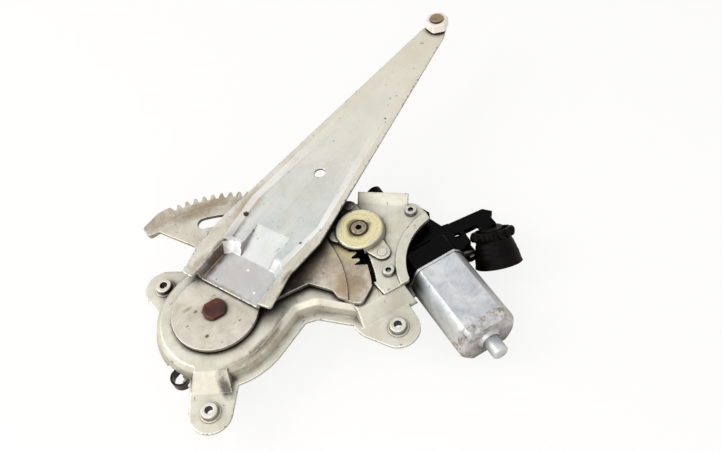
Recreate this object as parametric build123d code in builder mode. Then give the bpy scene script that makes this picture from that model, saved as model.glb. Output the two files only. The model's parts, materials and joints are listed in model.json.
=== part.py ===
from build123d import *
from math import atan2, cos, degrees, pi, radians, sin, sqrt, tan
import os

# Single-arm, sector-gear window regulator with its worm-gear motor. Millimetres, +Z up.
# The origin is the lower fixing hole on the mounting face (z = 0, the undersides of the three ears).
# The arm, the sector and the pivot stand on top of the stamped base plate, and the motor hangs below it.
# Places in the plane are given about the pivot axis, with +X from the pivot to the output pinion.

# ---- driving dimensions -------------------------------------------------------------------------
# sector gear and pinion
MODULE = 2.25
CIRCLE_TEETH = 96           # teeth that a full circle of the sector's pitch would have
PINION_TEETH = 11
TEETH_LEFT = 22             # sector teeth on the +Y side of the tooth that is in mesh
TEETH_RIGHT = 3             # and on its -Y side
BACKLASH = 0.16             # thinning of each tooth at the pitch line
PRESSURE_ANGLE = 20.0

# base plate
SHEET = 2.0                 # base plate sheet
DECK_RISE = 9.0             # mounting face to the underside of the deck
PLATEAU_STEP = 1.5          # the motor plateau stands this much above the deck
BOSS_RADIUS = 43.8          # deck edge round the pivot
BOSS_CENTRE = (1.5, -1.0)
WALL_DRAFT = 20.0           # slope of the wall from deck to flange
FLANGE = 5.0                # width of the flange beyond the wall's foot
EDGE_RADIUS = 3.0           # outer bend radius of the deck's edge
FIX_UPPER = (-24.5, 50.0)   # fixing holes, about the pivot
FIX_LOWER = (-35.5, -63.5)
FIX_MOTOR = (104.5, -79.5)
EAR_RADIUS = 15.5

# weld nuts, M6
THREAD = 6.0
NUT_BARREL = 12.0           # barrel diameter above the ear
NUT_FLANGE = 15.6           # welding flange under the barrel
NUT_HEIGHT = 5.0            # barrel height above the ear
NUT_PILOT = 8.0             # pilot diameter in the sheet's hole

# pivot
PIN_SHANK = 12.0
PIN_HEAD = 17.5
PIN_HEAD_H = 3.2
RUNNING = 0.05              # radial running clearance
BUSH_WALL = 2.0
BUSH_FLANGE = 26.0
BUSH_FLANGE_T = 2.0         # carries the sector clear of the deck
BUSH_DROP = 5.0             # bush length below the deck sheet

# sector plate and arm
SECTOR_T = 3.0
JOGGLE = 1.4                # the toothed rim lies this much below the hub
JOGGLE_RADIUS = 95.0
HUB_RADIUS = 32.3
NOSE_LEFT = 111.0           # radius of the stop nose past the left end of the teeth
NOSE_RIGHT = 114.0
ARM_ANGLE = 27.0            # arm direction at rest, from +X
ARM_LENGTH = 318.0          # pivot to roller
ARM_SHEET = 2.0
ARM_LIFT = 7.5              # underside of the arm's bands above the sector's hub
ARM_HALF_WIDE = 42.0
ARM_HALF_TIP = 11.0
ARM_START = 15.5            # pivot to the wide end's edge
ARM_TAPER_FROM = 66.0
WEB_DROP = 1.5              # the arm's web lies below its side bands
ARM_HOLE = 9.0
ARM_HOLE_AT = 135.5

# pinion bracket
DOME_RADIUS = 19.5
DOME_RISE = 7.0             # dome top above the plateau
BRACKET_SHEET = 2.0
BRACKET_FEET = (80.0, -80.0)    # directions of its two riveted feet from the output axis
FOOT_REACH = 26.0
FOOT_HALF = 6.0
RIVET_SHANK = 4.0

# gear housing, worm drive and motor
WORM_CENTRES = 34.0         # output axis to armature axis
WORM_DROP = 17.0            # deck underside to armature axis
WHEEL_RADIUS = 28.4
WORM_RADIUS = 5.2
HOUSING_WALL = 2.5
SCREW_CIRCLE = 42.0         # radius of the motor screws about the output axis
SCREW_ANGLES = (-90.0, -7.0, 100.0)
SCREW_THREAD = 5.0
SCREW_HEAD = 9.4
OUTPUT_SHAFT = 12.0
CAN_DIAMETER = 46.0
CAN_FLAT_CUT = 5.0          # what each flat takes off the can's round side
CAN_WALL = 1.6
CAN_FROM = -51.0            # y of the can's mouth, about the output axis
CAN_LENGTH = 66.0
NOSE_DIAMETER = 12.0
NOSE_LENGTH = 15.0

# balance spring and roller
SPRING_STRIP = 1.6
SPRING_HEIGHT = 7.0
SPRING_TOP = 1.5            # top edge of the strip, above the mounting face
SPRING_END_ANGLE = -157.0   # where its outer end leaves the boss
STUD_SHANK = 7.0
ROLLER_DIAMETER = 18.0
ROLLER_HEIGHT = 9.0

# ---- derived places -----------------------------------------------------------------------------
PIVOT_X = -FIX_LOWER[0]
PIVOT_Y = -FIX_LOWER[1]
PITCH_RADIUS = MODULE * CIRCLE_TEETH / 2
PINION_PITCH = MODULE * PINION_TEETH / 2
CENTRES = PITCH_RADIUS + PINION_PITCH
DECK_TOP = DECK_RISE + SHEET
PLATEAU_BOTTOM = DECK_RISE + PLATEAU_STEP
PLATEAU_TOP = DECK_TOP + PLATEAU_STEP
HUB_BOTTOM = DECK_TOP + BUSH_FLANGE_T
HUB_TOP = HUB_BOTTOM + SECTOR_T
RIM_BOTTOM = HUB_BOTTOM - JOGGLE
RIM_TOP = RIM_BOTTOM + SECTOR_T
PLATEAU_RADIUS = NOSE_RIGHT + 1.5
ARM_BOTTOM = HUB_TOP + ARM_LIFT
DOME_TOP = PLATEAU_TOP + DOME_RISE
DOME_CEILING = DOME_TOP - BRACKET_SHEET
WORM_Z = DECK_RISE - WORM_DROP
CAN_FLATS = CAN_DIAMETER - 2 * CAN_FLAT_CUT


def about_pivot(height):
    return Plane((PIVOT_X, PIVOT_Y, height))


def about_output(height):
    return Plane((PIVOT_X + CENTRES, PIVOT_Y, height))


def along_arm(height):
    direction = (cos(radians(ARM_ANGLE)), sin(radians(ARM_ANGLE)), 0)
    return Plane((PIVOT_X, PIVOT_Y, height), x_dir=direction, z_dir=(0, 0, 1))


def across_motor(distance):
    """Plane square to the armature, its normal pointing away from the gears."""
    origin = (PIVOT_X + CENTRES + WORM_CENTRES, PIVOT_Y + distance, WORM_Z)
    return Plane(origin, x_dir=(1, 0, 0), z_dir=(0, -1, 0))


def polar(radius, angle):
    return (radius * cos(radians(angle)), radius * sin(radians(angle)))


def involute(angle):
    return tan(angle) - angle


def tooth_half_angle(radius, teeth):
    """Half the angle that a tooth covers at a radius, in degrees."""
    pitch_radius = MODULE * teeth / 2
    base_radius = pitch_radius * cos(radians(PRESSURE_ANGLE))
    thinned = pi / (2 * teeth) - BACKLASH / (2 * pitch_radius)
    at_radius = 0.0 if radius <= base_radius else involute(acos_ratio(base_radius, radius))
    return degrees(thinned + involute(radians(PRESSURE_ANGLE)) - at_radius)


def acos_ratio(near, far):
    return atan2(sqrt(far * far - near * near), near)


def tooth_points(teeth, root, tip, angle):
    """Corners of one tooth, from its root on the low side over the tip to its root on the high side."""
    radii = [root, (2 * root + tip) / 3, (root + 2 * tip) / 3, tip]
    low = [polar(r, angle - tooth_half_angle(r, teeth)) for r in radii]
    high = [polar(r, angle + tooth_half_angle(r, teeth)) for r in reversed(radii)]
    return low + high


def save(part, name):
    part.label = name
    export_step(part, f"parts/{name}.step")


os.makedirs("parts", exist_ok=True)

# ---- base plate ---------------------------------------------------------------------------------
# One stamping: a raised deck under the sector, a motor plateau one step higher, a sloped wall with a
# flange at the mounting face, and three ears with wide ramps up to the deck.
EDGE_RUN = EDGE_RADIUS * 1.2                                # plan width of the bend at the deck's edge
WALL_RUN = (DECK_TOP - EDGE_RADIUS) * tan(radians(WALL_DRAFT))
FOOT_RUN = EDGE_RUN + WALL_RUN                              # deck edge to the wall's foot
BOSS_FROM = 98.0            # the deck's round edge about the pivot, anticlockwise from here
BOSS_SWEEP = 200.0
DECK_EDGE = [(50, -26), (66, -30), (90, -54), (125, -56), (121, 54), (60, 51)]
WINDOW_RADIUS = 17.0        # opening for the pinion
WINDOW_ARC = (-22.0, -4.0)  # and its tail along the sector's tips
LIP_CENTRE = (CENTRES + 55.0, -66.0)
LIP_RADIUS = 47.0           # concave edge round the motor's mouth
LIP_WIDTH = 7.5
LIP_RISE = 1.2
PLATEAU_EDGE = [(108, -56.5), (128, -57), (170, -19), (171, -7), (163, 1), (132.5, 25.3), (126, 36)]
STRIP_LENGTH = 39.0         # upturned strip along the plateau's outer edge
STRIP_RUN = 8.0
STRIP_RISE = 5.5
STRIP_ANGLE = degrees(atan2(25.3 - 1, 132.5 - 163))
SCREW_PLACES = [(CENTRES + polar(SCREW_CIRCLE, a)[0], polar(SCREW_CIRCLE, a)[1]) for a in SCREW_ANGLES]
SCREW_SEAT = 8.0


def deck_outline(grow):
    """Edge of the deck with its round stretch about the pivot; the far side runs under the arm."""
    with BuildSketch(Plane.XY, mode=Mode.PRIVATE) as outline:
        with BuildLine():
            rim = CenterArc(BOSS_CENTRE, BOSS_RADIUS, BOSS_FROM, BOSS_SWEEP)
            Polyline([rim @ 1] + DECK_EDGE + [rim @ 0])
        make_face()
        fillet([v for v in outline.vertices() if v.X > 10], 8)
        offset(amount=grow)
    return outline.sketch


def hat(inset, top):
    """Solid form of the raised deck: a steep wall, then a bend drawn as a shallower slope."""
    with BuildPart(mode=Mode.PRIVATE) as form:
        with BuildSketch(about_pivot(top - DECK_TOP)):
            add(deck_outline(FOOT_RUN - inset))
        extrude(amount=DECK_TOP - EDGE_RADIUS, taper=WALL_DRAFT)
        with BuildSketch(about_pivot(top - EDGE_RADIUS)):
            add(deck_outline(EDGE_RUN - inset))
        extrude(amount=EDGE_RADIUS, taper=degrees(atan2(EDGE_RUN, EDGE_RADIUS)))
    return form.part


def ramp(angle, corner, foot, head, inset, top):
    """Wide slope from an ear up to the deck: (near, far, half width) at the foot and at the head."""
    direction = (*polar(1, angle), 0)
    with BuildPart(mode=Mode.PRIVATE) as form:
        for height, (near, far, half) in ((top - DECK_TOP, foot), (top, head)):
            centre = (PIVOT_X + corner[0], PIVOT_Y + corner[1], height)
            with BuildSketch(Plane(centre, x_dir=direction, z_dir=(0, 0, 1))):
                with Locations(((near + far) / 2, 0)):
                    Rectangle(far - near - inset, 2 * (half - inset))
        loft()
    return form.part


def ear(place, radius, root, root_radius):
    """Outline of an ear, drawn out to its root on the flange."""
    with BuildSketch(Plane.XY, mode=Mode.PRIVATE) as outline:
        with BuildLine(mode=Mode.PRIVATE) as circles:
            CenterArc(place, radius, 0, 360)
            CenterArc(root, root_radius, 0, 360)
        make_hull(circles.edges())
    return outline.sketch


RAMP_LOWER = (-120, (0, 0), (30, 61, 15), (30, 46, 12))
RAMP_MOTOR = (-90, (105, -36), (0, 33, 22), (0, 20.5, 19))

with BuildPart() as base_plate:
    add(hat(0, DECK_TOP))
    add(ramp(*RAMP_LOWER, 0, DECK_TOP))
    add(ramp(*RAMP_MOTOR, 0, DECK_TOP))
    with BuildSketch(about_pivot(0)):
        add(deck_outline(FOOT_RUN + FLANGE))
        with Locations((60, 60)):
            Rectangle(200, 80, mode=Mode.SUBTRACT)          # no flange on the far side
        with Locations((150, -10)):
            Rectangle(40, 130, mode=Mode.SUBTRACT)          # nor round the motor
        with Locations((-60, 4)):
            Rectangle(60, 80, mode=Mode.SUBTRACT)           # nor at the boss's outer side
        add(ear(FIX_UPPER, EAR_RADIUS, (-12, 30), 25))
        add(ear(FIX_LOWER, EAR_RADIUS, (-22, -40), 18))
        add(ear(FIX_MOTOR, EAR_RADIUS, (100, -62), 21))
    extrude(amount=SHEET)
    add(hat(SHEET * 0.45, DECK_RISE), mode=Mode.SUBTRACT)
    add(ramp(*RAMP_LOWER, SHEET, DECK_RISE), mode=Mode.SUBTRACT)
    add(ramp(*RAMP_MOTOR, SHEET, DECK_RISE), mode=Mode.SUBTRACT)
    # the plate's edge curves round the motor's mouth
    with BuildSketch(about_pivot(-1)):
        with Locations(LIP_CENTRE):
            Circle(LIP_RADIUS)
    extrude(amount=PLATEAU_TOP + 1, mode=Mode.SUBTRACT)
    # the deck stops where the plateau takes over
    with BuildSketch(about_pivot(-1)):
        with Locations((CENTRES + 20, 10)):
            Rectangle(100, 130)
        Circle(PLATEAU_RADIUS + SHEET, mode=Mode.SUBTRACT)
    extrude(amount=PLATEAU_BOTTOM + 1, mode=Mode.SUBTRACT)
    with BuildSketch(about_pivot(PLATEAU_BOTTOM)) as plateau:
        Polygon(*PLATEAU_EDGE, (CENTRES - 8, 36), (CENTRES - 20, 20), align=None)
        fillet(plateau.vertices().filter_by(lambda v: v.X > CENTRES + 30), 6)
        with Locations(SCREW_PLACES):
            Circle(SCREW_SEAT)
        with Locations(LIP_CENTRE):
            Circle(LIP_RADIUS, mode=Mode.SUBTRACT)
        Circle(PLATEAU_RADIUS, mode=Mode.SUBTRACT)
    extrude(amount=SHEET)
    with BuildSketch(about_pivot(PLATEAU_TOP)):
        with Locations(LIP_CENTRE):
            Circle(LIP_RADIUS + LIP_WIDTH)
            Circle(LIP_RADIUS, mode=Mode.SUBTRACT)
        add(plateau.sketch_local, mode=Mode.INTERSECT)
    extrude(amount=LIP_RISE)
    strip_end = (PIVOT_X + PLATEAU_EDGE[4][0], PIVOT_Y + PLATEAU_EDGE[4][1], PLATEAU_BOTTOM)
    strip_along = Vector(*polar(1, STRIP_ANGLE), 0)
    with BuildSketch(Plane(strip_end, x_dir=(*polar(1, STRIP_ANGLE - 90), 0), z_dir=-strip_along)):
        Polygon((-2, 0), (-2, SHEET), (0, SHEET), (STRIP_RUN, SHEET + STRIP_RISE),
                (STRIP_RUN + 0.8, STRIP_RISE), (0.8, 0), align=None)
    extrude(amount=-STRIP_LENGTH)
    with BuildSketch(about_pivot(-1)):
        with Locations(FIX_UPPER, FIX_LOWER, FIX_MOTOR):
            Circle(NUT_PILOT / 2)
    extrude(amount=SHEET + 2, mode=Mode.SUBTRACT)
    with BuildSketch(about_pivot(DECK_RISE - 1)):
        Circle(PIN_SHANK / 2 + RUNNING + BUSH_WALL)
        with Locations((CENTRES, 0)):
            Circle(WINDOW_RADIUS)
        with Locations(SCREW_PLACES):
            Circle(SCREW_THREAD / 2 + 0.4)
        with Locations([(CENTRES + polar(FOOT_REACH, a)[0], polar(FOOT_REACH, a)[1]) for a in BRACKET_FEET]):
            Circle(RIVET_SHANK / 2)
        with BuildLine():
            inner = CenterArc((0, 0), CENTRES - WINDOW_RADIUS, WINDOW_ARC[0], WINDOW_ARC[1] - WINDOW_ARC[0])
            outer = CenterArc((0, 0), PLATEAU_RADIUS + 2, WINDOW_ARC[0], WINDOW_ARC[1] - WINDOW_ARC[0])
            Line(inner @ 0, outer @ 0)
            Line(inner @ 1, outer @ 1)
        make_face()
    extrude(amount=8, mode=Mode.SUBTRACT)
    # notch in the wall where the spring's outer end comes through
    with BuildSketch(Plane((PIVOT_X, PIVOT_Y, -1), x_dir=(*polar(1, SPRING_END_ANGLE), 0), z_dir=(0, 0, 1))):
        with Locations((BOSS_RADIUS + FOOT_RUN, 0)):
            Rectangle(20, 16)
    extrude(amount=SPRING_TOP + 2, mode=Mode.SUBTRACT)
    # lug under the lower ear that the spring's end hooks over
    with BuildSketch(Plane((PIVOT_X, PIVOT_Y, 0), x_dir=(*polar(1, SPRING_END_ANGLE + 12), 0),
                           z_dir=(0, 0, -1))):
        with Locations((BOSS_RADIUS + 5, 0)):
            Rectangle(7, SHEET)
    extrude(amount=6)
save(base_plate.part, "base_plate")

# ---- weld nuts ----------------------------------------------------------------------------------
# Three round-barrelled M6 weld nuts, their pilots down through the ears to the mounting face.
with BuildPart() as weld_nuts:
    with BuildSketch(about_pivot(0)):
        with Locations(FIX_UPPER, FIX_LOWER, FIX_MOTOR):
            Circle(NUT_PILOT / 2)
    extrude(amount=SHEET)
    with BuildSketch(about_pivot(SHEET)):
        with Locations(FIX_UPPER, FIX_LOWER, FIX_MOTOR):
            Circle(NUT_BARREL / 2)
    extrude(amount=NUT_HEIGHT)
    chamfer(weld_nuts.faces().sort_by(Axis.Z)[-3:].edges(), 0.6)
    with BuildSketch(about_pivot(SHEET)):
        with Locations(FIX_UPPER, FIX_LOWER, FIX_MOTOR):
            Circle(NUT_FLANGE / 2)
    extrude(amount=1, taper=20)
    with BuildSketch(about_pivot(0)):
        with Locations(FIX_UPPER, FIX_LOWER, FIX_MOTOR):
            Circle(THREAD / 2)
    extrude(amount=SHEET + NUT_HEIGHT, mode=Mode.SUBTRACT)
save(weld_nuts.part, "weld_nuts")

# ---- sector gear --------------------------------------------------------------------------------
# Stamped plate: hub round the pivot, a web with an arc slot, and a toothed rim joggled down, with a
# stop nose past each end of the teeth.
TOOTH_PITCH = 360 / CIRCLE_TEETH
TOOTH_ROOT = PITCH_RADIUS - 1.2 * MODULE
TOOTH_TIP = PITCH_RADIUS + 0.9 * MODULE
SLOT_INNER = 76.5
SLOT_OUTER = 87.0
SLOT_ANGLES = (30.0, 72.5)


def sector_outline():
    teeth = []
    for index in range(-TEETH_RIGHT, TEETH_LEFT + 1):
        teeth += tooth_points(CIRCLE_TEETH, TOOTH_ROOT, TOOTH_TIP, index * TOOTH_PITCH)
    right_end = -(TEETH_RIGHT + 0.5) * TOOTH_PITCH
    left_end = (TEETH_LEFT + 0.5) * TOOTH_PITCH
    with BuildSketch(Plane.XY, mode=Mode.PRIVATE) as outline:
        with BuildLine():
            Polyline([polar(TOOTH_ROOT, right_end)] + teeth + [polar(TOOTH_ROOT, left_end)])
            Polyline(polar(TOOTH_ROOT, left_end), polar(NOSE_LEFT, left_end + 1.5))
            nose_left = CenterArc((0, 0), NOSE_LEFT, left_end + 1.5, 5.5)
            Polyline([nose_left @ 1, (-18.5, 104), (-17, 93), (-8, 91.5), (-2.5, 82), (10, 62), (-2, 32),
                      (0, 0), (28, -16), (67, -19), (78.5, -34), (79, -41), (86, -51), (91, -55),
                      polar(NOSE_RIGHT, -24)])
            CenterArc((0, 0), NOSE_RIGHT, -24, right_end - 1.5 + 24)
            Line(polar(NOSE_RIGHT, right_end - 1.5), polar(TOOTH_ROOT, right_end))
        make_face()
        rounded = [(-18.5, 104), (-17, 93), (10, 62), (78.5, -34), (91, -55), polar(NOSE_RIGHT, -24)]
        for place in rounded:
            fillet(outline.vertices().sort_by_distance(place)[0], 3)
        Circle(HUB_RADIUS)
    return outline.sketch


with BuildPart() as sector_gear:
    with BuildSketch(about_pivot(HUB_BOTTOM)):
        add(sector_outline())
        Circle(JOGGLE_RADIUS + JOGGLE, mode=Mode.INTERSECT)
    extrude(amount=SECTOR_T)
    with BuildSketch(about_pivot(RIM_BOTTOM)):
        add(sector_outline())
        Circle(JOGGLE_RADIUS - JOGGLE, mode=Mode.SUBTRACT)
    extrude(amount=SECTOR_T)
    with BuildSketch(about_pivot(RIM_BOTTOM - 1)):
        with BuildLine():
            sweep_angle = SLOT_ANGLES[1] - SLOT_ANGLES[0]
            inner = CenterArc((0, 0), SLOT_INNER, SLOT_ANGLES[0], sweep_angle)
            outer = CenterArc((0, 0), SLOT_OUTER, SLOT_ANGLES[0], sweep_angle)
            ThreePointArc(inner @ 0, polar((SLOT_INNER + SLOT_OUTER) / 2, SLOT_ANGLES[0] - 3.6), outer @ 0)
            ThreePointArc(inner @ 1, polar((SLOT_INNER + SLOT_OUTER) / 2, SLOT_ANGLES[1] + 3.6), outer @ 1)
        make_face()
        Circle(PIN_SHANK / 2)
    extrude(amount=SECTOR_T + JOGGLE + 2, mode=Mode.SUBTRACT)
save(sector_gear.part, "sector_gear")

# ---- lift arm -----------------------------------------------------------------------------------
# Tapered pressing. A low pad at its wide end is welded to the sector's hub; a ramp climbs from the pad
# to the web, which lies a little below the two side bands.
PAD_HALF = 27.5
RAMP_FROM = 47.0            # pivot to the ramp's foot
RAMP_TO = 80.0
RAMP_HALF = 14.8
RAMP_SIDE = -2.3            # the ramp's middle lies this far off the arm's axis
WEB_FROM = 54.0
WEB_BEND = 92.0             # the web is widest here
WEB_TO = 232.0
WEB_HALF = ARM_HALF_WIDE - 13
WEB_TIP_HALF = 7.5
WEB_FLARE = 5.0             # plan width of the slope between the web and the bands
ARM_TIP = ARM_LENGTH + 9.0
ARM_OUTLINE = [(10.5, PAD_HALF), (10.5, ARM_HALF_WIDE - 5), (33, ARM_HALF_WIDE),
               (ARM_TAPER_FROM, ARM_HALF_WIDE), (ARM_LENGTH - 8, ARM_HALF_TIP), (ARM_TIP, 5), (ARM_TIP, -5),
               (ARM_LENGTH - 8, -ARM_HALF_TIP), (80, -39.5), (47, -36), (ARM_START + 1.5, -40.5),
               (ARM_START, -PAD_HALF - 2), (ARM_START, PAD_HALF)]


def trough(inset, lift):
    """Form of the pad's pocket and the narrower ramp that climbs out of it."""
    low = HUB_TOP + lift
    high = low + ARM_LIFT
    left = PAD_HALF - inset
    right = inset - PAD_HALF - 1
    ramp_half = RAMP_HALF - inset
    with BuildPart(mode=Mode.PRIVATE) as form:
        with BuildSketch(along_arm(low)):
            Polygon((0, left), (RAMP_FROM - 4 - inset, left - 2), (RAMP_FROM - inset, left - 8),
                    (RAMP_FROM - inset, right + 6), (RAMP_FROM - 5 - inset, right), (0, right), align=None)
        with BuildSketch(along_arm(high)):
            Polygon((0, left + 3), (RAMP_FROM + 1 - inset, left + 1), (RAMP_FROM + 7 - inset, left - 6),
                    (RAMP_FROM + 7 - inset, right + 4), (RAMP_FROM - inset, right - 3), (0, right - 3),
                    align=None)
        loft(ruled=True)
        with BuildSketch(along_arm(low)):
            with Locations((RAMP_FROM - 5, RAMP_SIDE)):
                Rectangle(10 - 2 * inset, 2 * ramp_half)
        with BuildSketch(along_arm(high)):
            Polygon((RAMP_FROM - 10, RAMP_SIDE + ramp_half + 3), (RAMP_TO, RAMP_SIDE + ramp_half + 4),
                    (RAMP_TO, RAMP_SIDE - ramp_half - 1), (RAMP_FROM - 10, RAMP_SIDE - ramp_half - 3),
                    align=None)
        loft(ruled=True)
    return form.part


def web_outline(grow, inset):
    """Corners of the sunk web; it widens upwards by grow, and more at its far end."""
    half = WEB_HALF + grow - inset
    far = WEB_TO + 6 * grow - inset
    return [(WEB_FROM - grow + inset, half - 4), (WEB_BEND, half), (far, WEB_TIP_HALF + grow - inset),
            (far, inset - WEB_TIP_HALF - grow), (WEB_BEND, -half), (WEB_FROM - grow + inset, 6 - half)]


def web(height, inset):
    """Form of the sunk web, drawn from its floor up to the bands' level."""
    with BuildPart(mode=Mode.PRIVATE) as form:
        with BuildSketch(along_arm(height)):
            Polygon(*web_outline(0, inset), align=None)
        with BuildSketch(along_arm(height + WEB_DROP)):
            Polygon(*web_outline(WEB_FLARE, inset), align=None)
        loft(ruled=True)
    return form.part


with BuildPart() as lift_arm:
    with BuildSketch(along_arm(ARM_BOTTOM)) as arm_plate:
        Polygon(*ARM_OUTLINE, align=None)
        fillet(arm_plate.vertices(), 2)
    extrude(amount=ARM_SHEET)
    add(web(ARM_BOTTOM - WEB_DROP, 0))
    add(trough(0, 0))
    with BuildSketch(along_arm(HUB_TOP)):
        with Locations((0, 0)):
            Rectangle(2 * ARM_START, 120)
    extrude(amount=ARM_LIFT, mode=Mode.SUBTRACT)
    add(web(ARM_BOTTOM - WEB_DROP + ARM_SHEET, 0.4), mode=Mode.SUBTRACT)
    add(trough(ARM_SHEET * 0.8, ARM_SHEET), mode=Mode.SUBTRACT)
    with BuildSketch(along_arm(ARM_BOTTOM - 5)):
        with Locations((ARM_HOLE_AT, 0)):
            Circle(ARM_HOLE / 2)
        with Locations((ARM_LENGTH, 0)):
            Circle(STUD_SHANK / 2)
    extrude(amount=12, mode=Mode.SUBTRACT)
save(lift_arm.part, "lift_arm")

# ---- pivot --------------------------------------------------------------------------------------
# A headed pin keyed to the sector turns in a flanged bush in the deck. A ring under the bush holds it,
# and its slotted tail takes the inner end of the balance spring.
RING_T = 1.5
RING_DIAMETER = 19.0
BUSH_BOTTOM = DECK_RISE - BUSH_DROP
RING_GAP = 0.1
TAIL_BOTTOM = SPRING_TOP - SPRING_HEIGHT - 0.5
TAIL_DIAMETER = 9.0
PIN_FLATS = 15.0

with BuildPart() as pivot_pin:
    with BuildSketch(about_pivot(HUB_TOP)):
        Circle(PIN_HEAD / 2)
        Rectangle(PIN_HEAD, PIN_FLATS, mode=Mode.INTERSECT)
    extrude(amount=PIN_HEAD_H)
    fillet(pivot_pin.faces().sort_by(Axis.Z)[-1].edges(), 1.1)
    with BuildSketch(about_pivot(HUB_TOP)):
        Circle(PIN_SHANK / 2)
    extrude(amount=BUSH_BOTTOM - RING_GAP - RING_T - HUB_TOP)
    with BuildSketch(about_pivot(BUSH_BOTTOM - RING_GAP - RING_T)):
        Circle(TAIL_DIAMETER / 2)
    extrude(amount=TAIL_BOTTOM - (BUSH_BOTTOM - RING_GAP - RING_T))
    with BuildSketch(about_pivot(TAIL_BOTTOM)):
        Rectangle(TAIL_DIAMETER + 1, SPRING_STRIP + 0.6, rotation=SPRING_END_ANGLE)
    extrude(amount=SPRING_HEIGHT + 0.7, mode=Mode.SUBTRACT)
save(pivot_pin.part, "pivot_pin")

with BuildPart() as pivot_ring:
    with BuildSketch(about_pivot(BUSH_BOTTOM - RING_GAP - RING_T)):
        Circle(RING_DIAMETER / 2)
        Circle(PIN_SHANK / 2, mode=Mode.SUBTRACT)
    extrude(amount=RING_T)
save(pivot_ring.part, "pivot_ring")

with BuildPart() as pivot_bush:
    with BuildSketch(about_pivot(BUSH_BOTTOM)):
        Circle(PIN_SHANK / 2 + RUNNING + BUSH_WALL)
    extrude(amount=BUSH_DROP + SHEET)
    with BuildSketch(about_pivot(DECK_TOP)):
        Circle(BUSH_FLANGE / 2)
    extrude(amount=BUSH_FLANGE_T)
    with BuildSketch(about_pivot(BUSH_BOTTOM)):
        Circle(PIN_SHANK / 2 + RUNNING)
    extrude(amount=HUB_BOTTOM - BUSH_BOTTOM, mode=Mode.SUBTRACT)
save(pivot_bush.part, "pivot_bush")

# ---- balance spring -----------------------------------------------------------------------------
# Flat strip wound in half turns about the tail. Its inner end lies in the tail's slot and its outer
# end bends back over the lug under the lower ear.
SPRING_TURNS = 4
HOOK_RADIUS = 6.6
SPRING_INNER = 9.0
SPRING_PITCH = 5.6

with BuildPart() as balance_spring:
    with BuildSketch(Plane((PIVOT_X, PIVOT_Y, SPRING_TOP), x_dir=(*polar(1, SPRING_END_ANGLE), 0),
                           z_dir=(0, 0, -1))):
        with BuildLine():
            reach = SPRING_INNER
            Line((-TAIL_DIAMETER / 2 + 0.5, 0), (reach, 0))
            side = 1
            for half_turn in range(2 * SPRING_TURNS):
                grown = reach + SPRING_PITCH / 2
                ThreePointArc((side * reach, 0), ((side * (reach - grown)) / 2, (reach + grown) / 2 * side),
                              (-side * grown, 0))
                reach = grown
                side = -side
            hook_start = (side * reach, 0)
            outer = BOSS_RADIUS + 7
            Line(hook_start, (side * outer, 0))
            ThreePointArc((outer, 0), (outer + HOOK_RADIUS * 0.8, -HOOK_RADIUS), (outer, -2 * HOOK_RADIUS))
        trace(line_width=SPRING_STRIP)
    extrude(amount=SPRING_HEIGHT)
save(balance_spring.part, "balance_spring")

# ---- stud and roller at the arm's tip -------------------------------------------------------------
# The stud is riveted through the arm; the glass channel's roller turns on it.
STUD_FLANGE = 13.0
STUD_JOURNAL = 8.0
STUD_CAP = 11.0
ROLLER_GAP = 0.3
ARM_TOP = ARM_BOTTOM + ARM_SHEET

with BuildPart() as roller_stud:
    with BuildSketch(along_arm(ARM_BOTTOM)):
        with Locations((ARM_LENGTH, 0)):
            Circle(STUD_SHANK / 2)
    extrude(amount=ARM_SHEET)
    with BuildSketch(along_arm(ARM_BOTTOM)):
        with Locations((ARM_LENGTH, 0)):
            Circle(STUD_FLANGE / 2 - 1)
    extrude(amount=-1.2)
    with BuildSketch(along_arm(ARM_TOP)):
        with Locations((ARM_LENGTH, 0)):
            Circle(STUD_FLANGE / 2)
    extrude(amount=1.5)
    with BuildSketch(along_arm(ARM_TOP + 1.5)):
        with Locations((ARM_LENGTH, 0)):
            Circle(STUD_JOURNAL / 2)
    extrude(amount=ROLLER_HEIGHT - 1.5 + 2 * ROLLER_GAP)
    with BuildSketch(along_arm(ARM_TOP + ROLLER_HEIGHT + 2 * ROLLER_GAP)):
        with Locations((ARM_LENGTH, 0)):
            Circle(STUD_CAP / 2)
    extrude(amount=1.2)
save(roller_stud.part, "roller_stud")

with BuildPart() as tip_roller:
    with BuildSketch(along_arm(ARM_TOP + 1.5 + ROLLER_GAP)):
        with Locations((ARM_LENGTH, 0)):
            RegularPolygon(ROLLER_DIAMETER / 2, 6, major_radius=False, rotation=10)
    extrude(amount=ROLLER_HEIGHT - 1.5)
    fillet(tip_roller.edges().filter_by(Axis.Z), 3)
    chamfer(tip_roller.faces().sort_by(Axis.Z)[-1].edges(), 0.8)
    with BuildSketch(along_arm(ARM_TOP + 1.5 + ROLLER_GAP)):
        with Locations((ARM_LENGTH, 0)):
            Circle(STUD_JOURNAL / 2 + RUNNING)
    extrude(amount=ROLLER_HEIGHT, mode=Mode.SUBTRACT)
    with BuildSketch(along_arm(ARM_TOP + ROLLER_HEIGHT - 1.5)):
        with Locations((ARM_LENGTH, 0)):
            Circle(STUD_CAP / 2 + 0.8)
    extrude(amount=ROLLER_HEIGHT, mode=Mode.SUBTRACT)
save(tip_roller.part, "tip_roller")

# ---- pinion, its shaft and the bracket over them ---------------------------------------------------
PINION_BOTTOM = RIM_BOTTOM - 0.8
PINION_TOP = DOME_CEILING - 0.5
PINION_ROOT = PINION_PITCH - 1.2 * MODULE
PINION_TIP = PINION_PITCH + 0.9 * MODULE
SHAFT_TOP = DOME_TOP + 1.0
SHAFT_BOTTOM = WORM_Z - 10.5
BEARING_WALL = 1.2

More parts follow.
